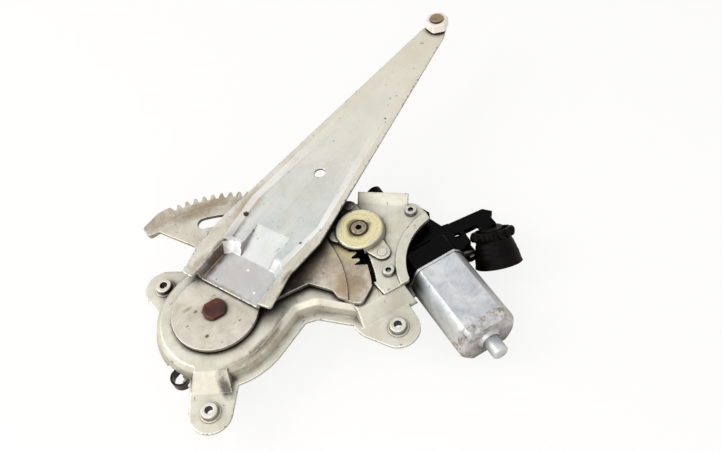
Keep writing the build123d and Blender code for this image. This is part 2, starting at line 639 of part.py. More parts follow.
with BuildPart() as pinion:
    with BuildSketch(about_output(PINION_BOTTOM)):
        with BuildLine():
            corners = []
            for index in range(PINION_TEETH):
                angle = 180 + (index + 0.5) * 360 / PINION_TEETH
                corners += tooth_points(PINION_TEETH, PINION_ROOT, PINION_TIP, angle)
            Polyline(corners, close=True)
        make_face()
        Circle(OUTPUT_SHAFT / 2, mode=Mode.SUBTRACT)
    extrude(amount=PINION_TOP - PINION_BOTTOM)
save(pinion.part, "pinion")

with BuildPart() as output_shaft:
    with BuildSketch(about_output(SHAFT_BOTTOM)):
        Circle(OUTPUT_SHAFT / 2)
    extrude(amount=SHAFT_TOP - SHAFT_BOTTOM)
    chamfer(output_shaft.faces().sort_by(Axis.Z)[-1].edges(), 0.6)
    with BuildSketch(about_output(SHAFT_TOP)):
        RegularPolygon(2.6, 6)
        RegularPolygon(2.6, 6, rotation=30)
    extrude(amount=-3, mode=Mode.SUBTRACT)
save(output_shaft.part, "output_shaft")

GUIDE_BOTTOM = RIM_TOP + 0.8
BUSH_OUTER = OUTPUT_SHAFT / 2 + RUNNING + BEARING_WALL

with BuildPart() as pinion_bracket:
    with BuildSketch(about_output(PLATEAU_TOP)):
        Circle(DOME_RADIUS)
    extrude(amount=DOME_RISE - 1, taper=14)
    with BuildSketch(about_output(DOME_TOP - 1)):
        Circle(DOME_RADIUS - (DOME_RISE - 1) * tan(radians(14)))
    extrude(amount=1, taper=45)
    with BuildSketch(about_output(PLATEAU_TOP)):
        for angle in BRACKET_FEET:
            with BuildLine(mode=Mode.PRIVATE) as foot:
                CenterArc(polar(FOOT_REACH, angle), FOOT_HALF, 0, 360)
                CenterArc(polar(6, angle), FOOT_HALF + 4, 0, 360)
            make_hull(foot.edges())
    extrude(amount=BRACKET_SHEET)
    with BuildSketch(about_output(PLATEAU_TOP - 1)):
        Circle(DOME_RADIUS - BRACKET_SHEET)
    extrude(amount=DOME_RISE - BRACKET_SHEET + 1, taper=14, mode=Mode.SUBTRACT)
    # the sector passes below; a guide lip reaches out over its rim
    with BuildSketch(about_pivot(PLATEAU_TOP - 1)):
        Circle(PLATEAU_RADIUS)
    extrude(amount=GUIDE_BOTTOM + BRACKET_SHEET - PLATEAU_TOP + 1, mode=Mode.SUBTRACT)
    with BuildSketch(about_output(GUIDE_BOTTOM)):
        with BuildLine(mode=Mode.PRIVATE) as guide:
            CenterArc((-17, 5), 5, 0, 360)
            CenterArc((-8, 2), 10, 0, 360)
        make_hull(guide.edges())
        Circle(DOME_RADIUS - BRACKET_SHEET - 2, mode=Mode.SUBTRACT)
    extrude(amount=BRACKET_SHEET)
    with BuildSketch(about_output(PLATEAU_TOP - 1)):
        Circle(BUSH_OUTER)
        with Locations([polar(FOOT_REACH, angle) for angle in BRACKET_FEET]):
            Circle(RIVET_SHANK / 2)
    extrude(amount=DOME_RISE + 2, mode=Mode.SUBTRACT)
save(pinion_bracket.part, "pinion_bracket")

with BuildPart() as shaft_bush:
    with BuildSketch(about_output(DOME_CEILING)):
        Circle(BUSH_OUTER)
        Circle(OUTPUT_SHAFT / 2 + RUNNING, mode=Mode.SUBTRACT)
    extrude(amount=BRACKET_SHEET + 0.4)
save(shaft_bush.part, "shaft_bush")

with BuildPart() as bracket_rivets:
    for angle in BRACKET_FEET:
        x, y = polar(FOOT_REACH, angle)
        centre = (PIVOT_X + CENTRES + x, PIVOT_Y + y)
        with BuildSketch(Plane((*centre, PLATEAU_BOTTOM - 1.2))):
            Circle(RIVET_SHANK / 2 + 1.4)
        extrude(amount=1.2)
        with BuildSketch(Plane((*centre, PLATEAU_BOTTOM))):
            Circle(RIVET_SHANK / 2)
        extrude(amount=SHEET + BRACKET_SHEET)
        with BuildSketch(Plane((*centre, PLATEAU_TOP + BRACKET_SHEET))):
            Circle(RIVET_SHANK / 2 + 1.8)
        extrude(amount=1.0, taper=30)
save(bracket_rivets.part, "bracket_rivets")

# ---- worm wheel, its damper and the drive plate ----------------------------------------------------
WHEEL_WIDTH = 8.0
WHEEL_TEETH = 58
WHEEL_RIM_INNER = 24.0
WHEEL_HUB = 9.5
WHEEL_BOTTOM = WORM_Z - WHEEL_WIDTH / 2
WHEEL_TOP = WORM_Z + WHEEL_WIDTH / 2
WEB_TOP = WORM_Z - 1.0
DOG_ANGLE = 20.0            # angle that a dog of the drive plate covers between two cushions
DAMPER_COUNT = 3


def ring_segment(inner_radius, outer_radius, middle, half):
    """Outline of part of a ring, between two radii and two directions."""
    with BuildSketch(Plane.XY, mode=Mode.PRIVATE) as outline:
        with BuildLine():
            inner = CenterArc((0, 0), inner_radius, middle - half, 2 * half)
            outer = CenterArc((0, 0), outer_radius, middle - half, 2 * half)
            Line(inner @ 0, outer @ 0)
            Line(inner @ 1, outer @ 1)
        make_face()
    return outline.sketch


with BuildPart() as worm_wheel:
    with BuildSketch(about_output(WHEEL_BOTTOM)):
        with BuildLine():
            corners = []
            for index in range(WHEEL_TEETH):
                step = 360 / WHEEL_TEETH
                corners += [polar(WHEEL_RADIUS - 1.8, (index - 0.30) * step),
                            polar(WHEEL_RADIUS, (index - 0.14) * step),
                            polar(WHEEL_RADIUS, (index + 0.14) * step),
                            polar(WHEEL_RADIUS - 1.8, (index + 0.30) * step)]
            Polyline(corners, close=True)
        make_face()
        Circle(WHEEL_RIM_INNER, mode=Mode.SUBTRACT)
    extrude(amount=WHEEL_WIDTH)
    with BuildSketch(about_output(WHEEL_BOTTOM)):
        Circle(WHEEL_RIM_INNER)
    extrude(amount=WEB_TOP - WHEEL_BOTTOM)
    with BuildSketch(about_output(WHEEL_BOTTOM - 2)):
        Circle(WHEEL_HUB)
    extrude(amount=WHEEL_WIDTH + 1)
    with BuildSketch(about_output(WHEEL_BOTTOM - 2)):
        Circle(OUTPUT_SHAFT / 2)
    extrude(amount=WHEEL_WIDTH + 2, mode=Mode.SUBTRACT)
save(worm_wheel.part, "worm_wheel")

with BuildPart() as damper_cushions:
    with BuildSketch(about_output(WEB_TOP)):
        for index in range(DAMPER_COUNT):
            middle = (index + 0.5) * 360 / DAMPER_COUNT
            add(ring_segment(WHEEL_HUB + 1, WHEEL_RIM_INNER - 0.5, middle,
                             (360 / DAMPER_COUNT - DOG_ANGLE) / 2))
    extrude(amount=WHEEL_TOP - WEB_TOP - 0.3)
save(damper_cushions.part, "damper_cushions")

with BuildPart() as drive_plate:
    with BuildSketch(about_output(WHEEL_TOP)):
        Circle(WHEEL_RIM_INNER - 1)
        Circle(OUTPUT_SHAFT / 2, mode=Mode.SUBTRACT)
    extrude(amount=2)
    with BuildSketch(about_output(WHEEL_TOP)):
        for index in range(DAMPER_COUNT):
            add(ring_segment(WHEEL_HUB + 2, WHEEL_RIM_INNER - 1, index * 360 / DAMPER_COUNT,
                             DOG_ANGLE / 2 - 2))
    extrude(amount=WEB_TOP - WHEEL_TOP + 0.4)
save(drive_plate.part, "drive_plate")

# ---- gear housing ----------------------------------------------------------------------------------
# Moulded cup that is open at the bottom, with the worm's tunnel along one side, a mouth block that
# takes the motor can, three screw bosses up to the plateau and a flat wing with the connector's arm.
HOUSING_TOP = DECK_RISE - 0.5
HOUSING_BOTTOM = WORM_Z - 11.5
CAVITY_RADIUS = WHEEL_RADIUS + 1.6
DRUM_RADIUS = CAVITY_RADIUS + HOUSING_WALL
ROOF_BOTTOM = HOUSING_TOP - 4.0
BEARING_RADIUS = 10.0
TUNNEL_RADIUS = 10.5
TUNNEL_BORE = WORM_RADIUS + 1.0
TUNNEL_SHOULDER = 29.0       # the wide part of the tunnel ends here
TUNNEL_END = 44.0
END_BORE = 4.5
MOUTH_DEPTH = 16.0
FLANGE_T = 1.8
CAN_EAR_AT = 28.5           # armature axis to each can screw
CAN_EAR_RADIUS = 5.5
CAN_SCREW = 4.0
SHAFT = 5.0                 # armature shaft diameter
SCREW_BOSS = 6.5
WING_TOP = 4.0
WING_T = 4.0
WING = [(36, 12), (50, 6), (53, -1), (55.5, -8), (52.6, -13), (56, -24), (61, -25), (62.7, -30.6), (67, -37),
        (66, -48.5), (59, -50.5), (36, -50.5)]
WING_HOLE = (61, -38.6)
WING_HOLE_RADIUS = 3.0
CAN_SCREW_DEPTH = 7.0       # thread of each can screw in the mouth block


def can_section(radius, flats):
    """Round outline with a flat top and bottom."""
    with BuildSketch(Plane.XY, mode=Mode.PRIVATE) as outline:
        Circle(radius)
        Rectangle(2 * radius + 2, flats, mode=Mode.INTERSECT)
    return outline.sketch


def mouth_section(radius, flats):
    """The can's outline with an ear out to each side for its screws."""
    with BuildSketch(Plane.XY, mode=Mode.PRIVATE) as outline:
        with BuildLine(mode=Mode.PRIVATE) as circles:
            CenterArc((0, 0), radius * 0.7, 0, 360)
            CenterArc((CAN_EAR_AT, 0), CAN_EAR_RADIUS, 0, 360)
            CenterArc((-CAN_EAR_AT, 0), CAN_EAR_RADIUS, 0, 360)
        make_hull(circles.edges())
        add(can_section(radius, flats))
    return outline.sketch


with BuildPart() as gear_housing:
    with BuildSketch(about_output(HOUSING_BOTTOM)):
        Circle(DRUM_RADIUS)
    extrude(amount=HOUSING_TOP - HOUSING_BOTTOM - 1)
    with BuildSketch(about_output(HOUSING_TOP - 1)):
        Circle(DRUM_RADIUS)
    extrude(amount=1, taper=45)
    with BuildSketch(about_output(HOUSING_BOTTOM)):
        Circle(DRUM_RADIUS + 2)
    extrude(amount=3)
    with BuildSketch(about_output(HOUSING_TOP)):
        Circle(BEARING_RADIUS)
    extrude(amount=PINION_BOTTOM - HOUSING_TOP - 0.5)
    for angle in SCREW_ANGLES:
        with BuildSketch(about_output(-4)):
            with BuildLine(mode=Mode.PRIVATE) as web:
                CenterArc(polar(SCREW_CIRCLE, angle), SCREW_BOSS, 0, 360)
                CenterArc(polar(DRUM_RADIUS - 8, angle), SCREW_BOSS + 3, 0, 360)
            make_hull(web.edges())
        extrude(amount=10)
        with BuildSketch(about_output(-4)):
            with Locations(polar(SCREW_CIRCLE, angle)):
                Circle(SCREW_BOSS)
        extrude(amount=PLATEAU_BOTTOM + 4)
    with BuildSketch(about_pivot(HOUSING_TOP)):
        Circle(PLATEAU_RADIUS + SHEET + 0.4)
        with Locations((CENTRES, 0)):
            Circle(WINDOW_RADIUS - 1, mode=Mode.SUBTRACT)
    extrude(amount=PLATEAU_BOTTOM, mode=Mode.SUBTRACT)
    with BuildSketch(across_motor(CAN_FROM)):
        Circle(TUNNEL_RADIUS)
    extrude(amount=CAN_FROM - TUNNEL_SHOULDER)
    with BuildSketch(across_motor(CAN_FROM)):
        Circle(END_BORE + 2)
    extrude(amount=CAN_FROM - TUNNEL_END)
    with BuildSketch(across_motor(CAN_FROM)):
        add(mouth_section(CAN_DIAMETER / 2 + 1, CAN_FLATS))
    extrude(amount=-MOUTH_DEPTH)
    with BuildSketch(about_output(WING_TOP)):
        Polygon(*WING, align=None)
    extrude(amount=-WING_T)
    # room for the round cover in the mouth block's lower corner
    with BuildSketch(about_output(HOUSING_BOTTOM)):
        Circle(DRUM_RADIUS + 2.5)
    extrude(amount=-12, mode=Mode.SUBTRACT)
    # ribs over the mouth block and the tunnel
    with BuildSketch(about_output(WING_TOP - WING_T)):
        for y in (-30, -20, -10, 10, 20):
            with Locations((WORM_CENTRES, y)):
                Rectangle(16, 2)
    extrude(amount=WING_T + 1.5)
    with BuildSketch(about_output(HOUSING_BOTTOM)):
        Circle(CAVITY_RADIUS)
    extrude(amount=ROOF_BOTTOM - HOUSING_BOTTOM, mode=Mode.SUBTRACT)
    with BuildSketch(about_output(-1)):
        Circle(BEARING_RADIUS)
    extrude(amount=HOUSING_TOP + 1)
    with BuildSketch(about_output(HOUSING_BOTTOM)):
        Circle(OUTPUT_SHAFT / 2 + RUNNING)
        with Locations([polar(SCREW_CIRCLE, angle) for angle in SCREW_ANGLES]):
            Circle(SCREW_THREAD / 2)
    extrude(amount=PLATEAU_TOP - HOUSING_BOTTOM, mode=Mode.SUBTRACT)
    with BuildSketch(across_motor(CAN_FROM)):
        Circle(TUNNEL_BORE)
    extrude(amount=CAN_FROM - TUNNEL_SHOULDER + 2, mode=Mode.SUBTRACT)
    with BuildSketch(across_motor(CAN_FROM)):
        Circle(END_BORE)
    extrude(amount=CAN_FROM - TUNNEL_END + 3, mode=Mode.SUBTRACT)
    with BuildSketch(across_motor(CAN_FROM)):
        add(can_section(CAN_DIAMETER / 2 - 2, CAN_FLATS - 4))
    extrude(amount=-MOUTH_DEPTH + 5, mode=Mode.SUBTRACT)
    with BuildSketch(across_motor(CAN_FROM)):
        with Locations((CAN_EAR_AT, 0), (-CAN_EAR_AT, 0)):
            Circle(CAN_SCREW / 2)
    extrude(amount=-CAN_SCREW_DEPTH, mode=Mode.SUBTRACT)
    with BuildSketch(about_output(WING_TOP)):
        with Locations(WING_HOLE):
            Circle(WING_HOLE_RADIUS)
    extrude(amount=2 * HOUSING_BOTTOM, mode=Mode.SUBTRACT)
save(gear_housing.part, "gear_housing")

COVER_SHEET = 1.6
GASKET = 0.8
with BuildPart() as cover_gasket:
    with BuildSketch(about_output(HOUSING_BOTTOM)):
        Circle(DRUM_RADIUS + 1.5)
        Circle(CAVITY_RADIUS + 0.5, mode=Mode.SUBTRACT)
    extrude(amount=-GASKET)
save(cover_gasket.part, "cover_gasket")

with BuildPart() as housing_cover:
    with BuildSketch(about_output(HOUSING_BOTTOM - GASKET)):
        Circle(DRUM_RADIUS + 2)
    extrude(amount=-COVER_SHEET)
    with BuildSketch(about_output(HOUSING_BOTTOM - GASKET - COVER_SHEET)):
        Circle(CAVITY_RADIUS - 8)
    extrude(amount=-1.5, taper=45)
    with BuildSketch(about_output(HOUSING_BOTTOM - GASKET)):
        Circle(CAVITY_RADIUS - 10)
    extrude(amount=-1.5, mode=Mode.SUBTRACT)
save(housing_cover.part, "housing_cover")

SCREW_HEAD_H = 3.0
with BuildPart() as motor_screws:
    for x, y in SCREW_PLACES:
        centre = (PIVOT_X + x, PIVOT_Y + y)
        with BuildSketch(Plane((*centre, -2))):
            Circle(SCREW_THREAD / 2)
        extrude(amount=PLATEAU_TOP + 2)
        with BuildSketch(Plane((*centre, PLATEAU_TOP))):
            Circle(SCREW_HEAD / 2)
        extrude(amount=SCREW_HEAD_H, taper=12)
        with BuildSketch(Plane((*centre, PLATEAU_TOP + SCREW_HEAD_H))):
            RegularPolygon(2.3, 6)
            RegularPolygon(2.3, 6, rotation=30)
        extrude(amount=-1.8, mode=Mode.SUBTRACT)
save(motor_screws.part, "motor_screws")

# ---- motor -----------------------------------------------------------------------------------------
CAN_END = CAN_FROM - CAN_LENGTH
with BuildPart() as motor_can:
    with BuildSketch(across_motor(CAN_FROM)):
        add(can_section(CAN_DIAMETER / 2, CAN_FLATS))
    extrude(amount=CAN_LENGTH - 3)
    with BuildSketch(across_motor(CAN_END + 3)):
        add(can_section(CAN_DIAMETER / 2, CAN_FLATS))
    extrude(amount=3, taper=40)
    with BuildSketch(across_motor(CAN_END)):
        Circle(NOSE_DIAMETER / 2 + 3)
    extrude(amount=2.5, taper=40)
    with BuildSketch(across_motor(CAN_END)):
        Circle(NOSE_DIAMETER / 2)
    extrude(amount=NOSE_LENGTH)
    chamfer(motor_can.faces().sort_by(Axis.Y)[0].edges(), 1.2)
    with BuildSketch(across_motor(CAN_FROM)):
        add(mouth_section(CAN_DIAMETER / 2 + 1, CAN_FLATS + 1))
    extrude(amount=FLANGE_T)
    with BuildSketch(across_motor(CAN_FROM)):
        add(can_section(CAN_DIAMETER / 2 - CAN_WALL, CAN_FLATS - 2 * CAN_WALL))
    extrude(amount=CAN_LENGTH - CAN_WALL - 2, mode=Mode.SUBTRACT)
    with BuildSketch(across_motor(CAN_FROM)):
        with Locations((CAN_EAR_AT, 0), (-CAN_EAR_AT, 0)):
            Circle(CAN_SCREW / 2)
    extrude(amount=FLANGE_T, mode=Mode.SUBTRACT)
    with BuildSketch(across_motor(CAN_FROM)):
        Circle(NOSE_DIAMETER / 2 - CAN_WALL)
    extrude(amount=CAN_LENGTH + NOSE_LENGTH - CAN_WALL, mode=Mode.SUBTRACT)
save(motor_can.part, "motor_can")

with BuildPart() as can_screws:
    with BuildSketch(across_motor(CAN_FROM - FLANGE_T)):
        with Locations((CAN_EAR_AT, 0), (-CAN_EAR_AT, 0)):
            Circle(CAN_SCREW / 2)
    extrude(amount=-(FLANGE_T + CAN_SCREW_DEPTH))
    with BuildSketch(across_motor(CAN_FROM - FLANGE_T)):
        with Locations((CAN_EAR_AT, 0), (-CAN_EAR_AT, 0)):
            RegularPolygon(CAN_SCREW * 0.9, 6)
    extrude(amount=2.6)
save(can_screws.part, "can_screws")

MAGNET_OUTER = CAN_DIAMETER / 2 - CAN_WALL
MAGNET_GAP = 0.7
MAGNET_HALF = 42.0
CORE_RADIUS = CAN_FLATS / 2 - CAN_WALL - 0.4
MAGNET_INNER = CORE_RADIUS + MAGNET_GAP
CORE_FROM = CAN_FROM - 14.0
CORE_LENGTH = 38.0
CORE_SLOTS = 10
with BuildPart() as magnets:
    with BuildSketch(across_motor(CORE_FROM + 3)):
        add(ring_segment(MAGNET_INNER, MAGNET_OUTER, 0, MAGNET_HALF))
        add(ring_segment(MAGNET_INNER, MAGNET_OUTER, 180, MAGNET_HALF))
    extrude(amount=CORE_LENGTH + 6)
save(magnets.part, "magnets")

with BuildPart() as armature_core:
    with BuildSketch(across_motor(CORE_FROM)):
        Circle(CORE_RADIUS)
        Circle(SHAFT / 2, mode=Mode.SUBTRACT)
        with PolarLocations(CORE_RADIUS - 3.5, CORE_SLOTS):
            Rectangle(7.2, 2.4, mode=Mode.SUBTRACT)
    extrude(amount=CORE_LENGTH)
save(armature_core.part, "armature_core")

with BuildPart() as windings:
    with BuildSketch(across_motor(CORE_FROM)):
        Circle(CORE_RADIUS - 1)
        Circle(SHAFT / 2, mode=Mode.SUBTRACT)
    extrude(amount=-4.5, taper=25)
    with BuildSketch(across_motor(CORE_FROM - CORE_LENGTH)):
        Circle(CORE_RADIUS - 1)
        Circle(SHAFT / 2, mode=Mode.SUBTRACT)
    extrude(amount=4.5, taper=25)
    with BuildSketch(across_motor(CORE_FROM)):
        with PolarLocations(CORE_RADIUS - 4, CORE_SLOTS):
            Rectangle(5.2, 2.0)
    extrude(amount=CORE_LENGTH)
save(windings.part, "windings")

COMMUTATOR_RADIUS = 6.0
COMMUTATOR_FROM = CAN_FROM + 2.0
COMMUTATOR_LENGTH = 10.0
with BuildPart() as commutator:
    with BuildSketch(across_motor(COMMUTATOR_FROM)):
        Circle(COMMUTATOR_RADIUS)
        Circle(SHAFT / 2, mode=Mode.SUBTRACT)
        with PolarLocations(COMMUTATOR_RADIUS - 0.4, CORE_SLOTS):
            Rectangle(1.0, 0.5, mode=Mode.SUBTRACT)
    extrude(amount=COMMUTATOR_LENGTH)
save(commutator.part, "commutator")

WORM_HALF = 14.0
WORM_PITCH = 2 * pi * (WHEEL_RADIUS - 1) / WHEEL_TEETH
SHAFT_END = TUNNEL_END - 8.0
with BuildPart() as armature_shaft:
    with BuildSketch(across_motor(SHAFT_END)):
        Circle(SHAFT / 2)
    extrude(amount=SHAFT_END - CAN_END + NOSE_LENGTH - 3)
    with BuildSketch(across_motor(WORM_HALF + 3)):
        Circle(WORM_RADIUS - 1.6)
    extrude(amount=2 * WORM_HALF + 6)
    for index in range(8):
        near = (index - 4) * WORM_PITCH
        with BuildSketch(across_motor(near + WORM_PITCH * 0.28)):
            Circle(WORM_RADIUS - 1.6)
        extrude(amount=WORM_PITCH * 0.28, taper=-62)
        with BuildSketch(across_motor(near - WORM_PITCH * 0.28)):
            Circle(WORM_RADIUS - 1.6)
        extrude(amount=-WORM_PITCH * 0.28, taper=-62)
save(armature_shaft.part, "armature_shaft")

with BuildPart() as armature_bushes:
    for start, length, outer in ((TUNNEL_END - 9, 5, END_BORE), (CAN_FROM + MOUTH_DEPTH - 5, -5, TUNNEL_BORE),
                                 (CAN_END - NOSE_LENGTH + 7, 5, NOSE_DIAMETER / 2 - CAN_WALL)):
        with BuildSketch(across_motor(start)):
            Circle(outer)
            Circle(SHAFT / 2 + RUNNING, mode=Mode.SUBTRACT)
        extrude(amount=length)
save(armature_bushes.part, "armature_bushes")

with BuildPart() as thrust_ball:
    with Locations((PIVOT_X + CENTRES + WORM_CENTRES, PIVOT_Y + SHAFT_END + 2.3, WORM_Z)):
        Sphere(2.0)
save(thrust_ball.part, "thrust_ball")

BRUSH = 5.0
BRUSH_FROM = CAN_FROM - 4.0         # middle of the brushes along the armature
HOLDER_T = 2.5
with BuildPart() as brush_holder:
    with BuildSketch(across_motor(CAN_FROM + 5)):
        add(can_section(CAN_DIAMETER / 2 - 2.4, CAN_FLATS - 4.8))
        Circle(COMMUTATOR_RADIUS + 1.5, mode=Mode.SUBTRACT)
    extrude(amount=HOLDER_T)
    with BuildSketch(across_motor(CAN_FROM + 5 - HOLDER_T)):
        with Locations((COMMUTATOR_RADIUS + 7, 0), (-COMMUTATOR_RADIUS - 7, 0)):
            Rectangle(9, BRUSH + 3)
    extrude(amount=CAN_FROM - BRUSH_FROM + 5 - HOLDER_T + BRUSH / 2 + 1.5)
    with BuildSketch(Plane.YZ.offset(PIVOT_X + CENTRES + WORM_CENTRES)):
        with Locations((PIVOT_Y + BRUSH_FROM, WORM_Z)):
            Rectangle(BRUSH + 0.2, BRUSH + 0.2)
    extrude(amount=COMMUTATOR_RADIUS + 10, both=True, mode=Mode.SUBTRACT)
save(brush_holder.part, "brush_holder")

with BuildPart() as brushes:
    with Locations((PIVOT_X + CENTRES + WORM_CENTRES - COMMUTATOR_RADIUS - 4.3, PIVOT_Y + BRUSH_FROM, WORM_Z),
                   (PIVOT_X + CENTRES + WORM_CENTRES + COMMUTATOR_RADIUS + 4.3, PIVOT_Y + BRUSH_FROM, WORM_Z)):
        Box(8, BRUSH, BRUSH)
save(brushes.part, "brushes")

# ---- connector -------------------------------------------------------------------------------------
# The housing's arm ends in a three-pole socket that a rubber bellows boot covers.
BOOT_TOP = (85.0, -47.5, 2.0)      # about the output axis
BOOT_END = (80.5, -62.5, -20.0)
BOOT_RADII = (13.5, 15.5, 13.0, 14.4, 12.6, 15.5, 14.0, 17.0)
BOOT_ARM = [(61.3, -24.8), (90, -28), (95, -34), (91, -38), (91, -45), (79, -45), (79, -37.5), (67.4, -36.8),
            (63, -30.6)]
BOOT_WALL = 1.8
BOOT_ARM_T = 5.6
boot_start = Vector(PIVOT_X + CENTRES + BOOT_TOP[0], PIVOT_Y + BOOT_TOP[1], BOOT_TOP[2])
boot_stop = Vector(PIVOT_X + CENTRES + BOOT_END[0], PIVOT_Y + BOOT_END[1], BOOT_END[2])
boot_axis = (boot_stop - boot_start).normalized()
BOOT_LENGTH = (boot_stop - boot_start).length


def along_boot(distance):
    """Plane across the boot, this far down its axis from the top."""
    return Plane(boot_start + boot_axis * distance, x_dir=(1, 0, 0), z_dir=boot_axis)


with BuildPart() as connector_boot:
    step = BOOT_LENGTH / (len(BOOT_RADII) - 1)
    for hollow, mode in ((0, Mode.ADD), (BOOT_WALL, Mode.SUBTRACT)):
        for index in range(len(BOOT_RADII) - 1):
            with BuildPart(mode=Mode.PRIVATE) as fold:
                with BuildSketch(along_boot(index * step)):
                    Circle(BOOT_RADII[index] - hollow)
                with BuildSketch(along_boot((index + 1) * step)):
                    Circle(BOOT_RADII[index + 1] - hollow)
                loft(ruled=True)
            add(fold.part, mode=mode)
save(connector_boot.part, "connector_boot")

SOCKET_RADIUS = BOOT_RADII[0] - BOOT_WALL - 3.2
SOCKET_DEPTH = 14.0
with BuildPart() as connector_housing:
    with BuildSketch(along_boot(-1.5)):
        Circle(SOCKET_RADIUS)
    extrude(amount=1.5 + SOCKET_DEPTH)
    with BuildSketch(about_output(WING_TOP - 1)):
        Polygon(*BOOT_ARM, align=None)
    extrude(amount=-BOOT_ARM_T)
    with BuildSketch(along_boot(2)):
        Rectangle(SOCKET_RADIUS * 1.4, SOCKET_RADIUS * 0.9)
    extrude(amount=SOCKET_DEPTH, mode=Mode.SUBTRACT)
    with BuildSketch(along_boot(-1)):
        with GridLocations(3.2, 3.0, 3, 1):
            Rectangle(1.6, 0.8)
    extrude(amount=SOCKET_DEPTH, mode=Mode.SUBTRACT)
save(connector_housing.part, "connector_housing")

with BuildPart() as terminals:
    with BuildSketch(along_boot(-1)):
        with GridLocations(3.2, 3.0, 3, 1):
            Rectangle(1.6, 0.8)
    extrude(amount=SOCKET_DEPTH)
save(terminals.part, "terminals")
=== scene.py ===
import bpy
import bmesh
import json
from math import cos, pi, radians, sin
from mathutils import Euler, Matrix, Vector


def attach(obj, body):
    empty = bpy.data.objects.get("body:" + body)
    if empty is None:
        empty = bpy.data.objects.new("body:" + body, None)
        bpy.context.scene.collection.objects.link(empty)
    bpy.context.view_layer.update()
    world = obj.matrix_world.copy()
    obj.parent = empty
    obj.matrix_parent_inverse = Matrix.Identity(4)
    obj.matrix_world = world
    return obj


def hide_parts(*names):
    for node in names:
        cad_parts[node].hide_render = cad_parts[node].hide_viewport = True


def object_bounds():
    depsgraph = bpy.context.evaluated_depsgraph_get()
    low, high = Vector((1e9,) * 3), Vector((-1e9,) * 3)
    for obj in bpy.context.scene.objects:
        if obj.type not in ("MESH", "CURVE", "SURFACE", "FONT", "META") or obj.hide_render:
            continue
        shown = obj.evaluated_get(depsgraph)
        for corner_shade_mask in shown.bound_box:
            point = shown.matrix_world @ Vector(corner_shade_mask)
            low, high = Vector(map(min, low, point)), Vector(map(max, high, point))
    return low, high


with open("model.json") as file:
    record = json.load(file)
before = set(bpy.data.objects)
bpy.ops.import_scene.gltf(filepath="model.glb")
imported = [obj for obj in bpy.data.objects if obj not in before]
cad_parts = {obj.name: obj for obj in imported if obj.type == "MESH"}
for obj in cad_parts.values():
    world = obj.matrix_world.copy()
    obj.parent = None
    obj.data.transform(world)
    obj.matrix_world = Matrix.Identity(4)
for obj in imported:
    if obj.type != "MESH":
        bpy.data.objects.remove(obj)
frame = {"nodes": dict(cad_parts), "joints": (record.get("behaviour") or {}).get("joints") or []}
cad_box = [list(corner_shade_mask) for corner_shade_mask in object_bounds()]
scene = bpy.context.scene

# ---- base plate ---------------------------------------------------------------------------------
# The motor and the sector sit on one deep pressing of 2 mm steel, zinc plated. Years inside a door have
# dulled it; its steep walls and corners carry painted shade and its bends a painted highlight.
MM = 0.001


def linear(code):
    """A colour written as sRGB hex, as the linear values that a shader takes."""
    parts = [int(code[i:i + 2], 16) / 255 for i in (1, 3, 5)]
    return [p / 12.92 if p <= 0.04045 else ((p + 0.055) / 1.055) ** 2.4 for p in parts] + [1.0]


def add(tree, kind, inputs=None, stops=(), **settings):
    """Adds one node. An input is a value or the socket that feeds it, and stops are a ramp's colours."""
    made = tree.nodes.new(("ShaderNode" if tree.type == "SHADER" else "") + kind)
    for key, value in settings.items():
        setattr(made, key, value)
    for key, value in (inputs or {}).items():
        if isinstance(value, bpy.types.NodeSocket):
            tree.links.new(value, made.inputs[key])
        else:
            made.inputs[key].default_value = value
    for index, (where, shade) in enumerate(stops):
        element = made.color_ramp.elements[index] if index < 2 else made.color_ramp.elements.new(where)
        element.position = where
        element.color = shade if isinstance(shade, list) else (shade, shade, shade, 1.0)
    return made


def start(name):
    """A new material, with its tree, its shader and its Object coordinates."""
    made = bpy.data.materials.new(name)
    made.use_nodes = True
    tree = made.node_tree
    return made, tree, tree.nodes["Principled BSDF"], add(tree, "TexCoord").outputs["Object"]


def clouded(tree, place, light, dark, cloud_mm):
    """Plating with soft clouds of two shades, each about cloud_mm across."""
    cloud = add(tree, "TexNoise", {"Vector": place, "Scale": 1 / (cloud_mm * MM), "Detail": 6.0,
                                   "Roughness": 0.62, "Distortion": 0.6})
    return add(tree, "ValToRGB", {"Fac": cloud.outputs["Fac"]},
               [(0.36, linear(light)), (0.66, linear(dark))]).outputs["Color"]


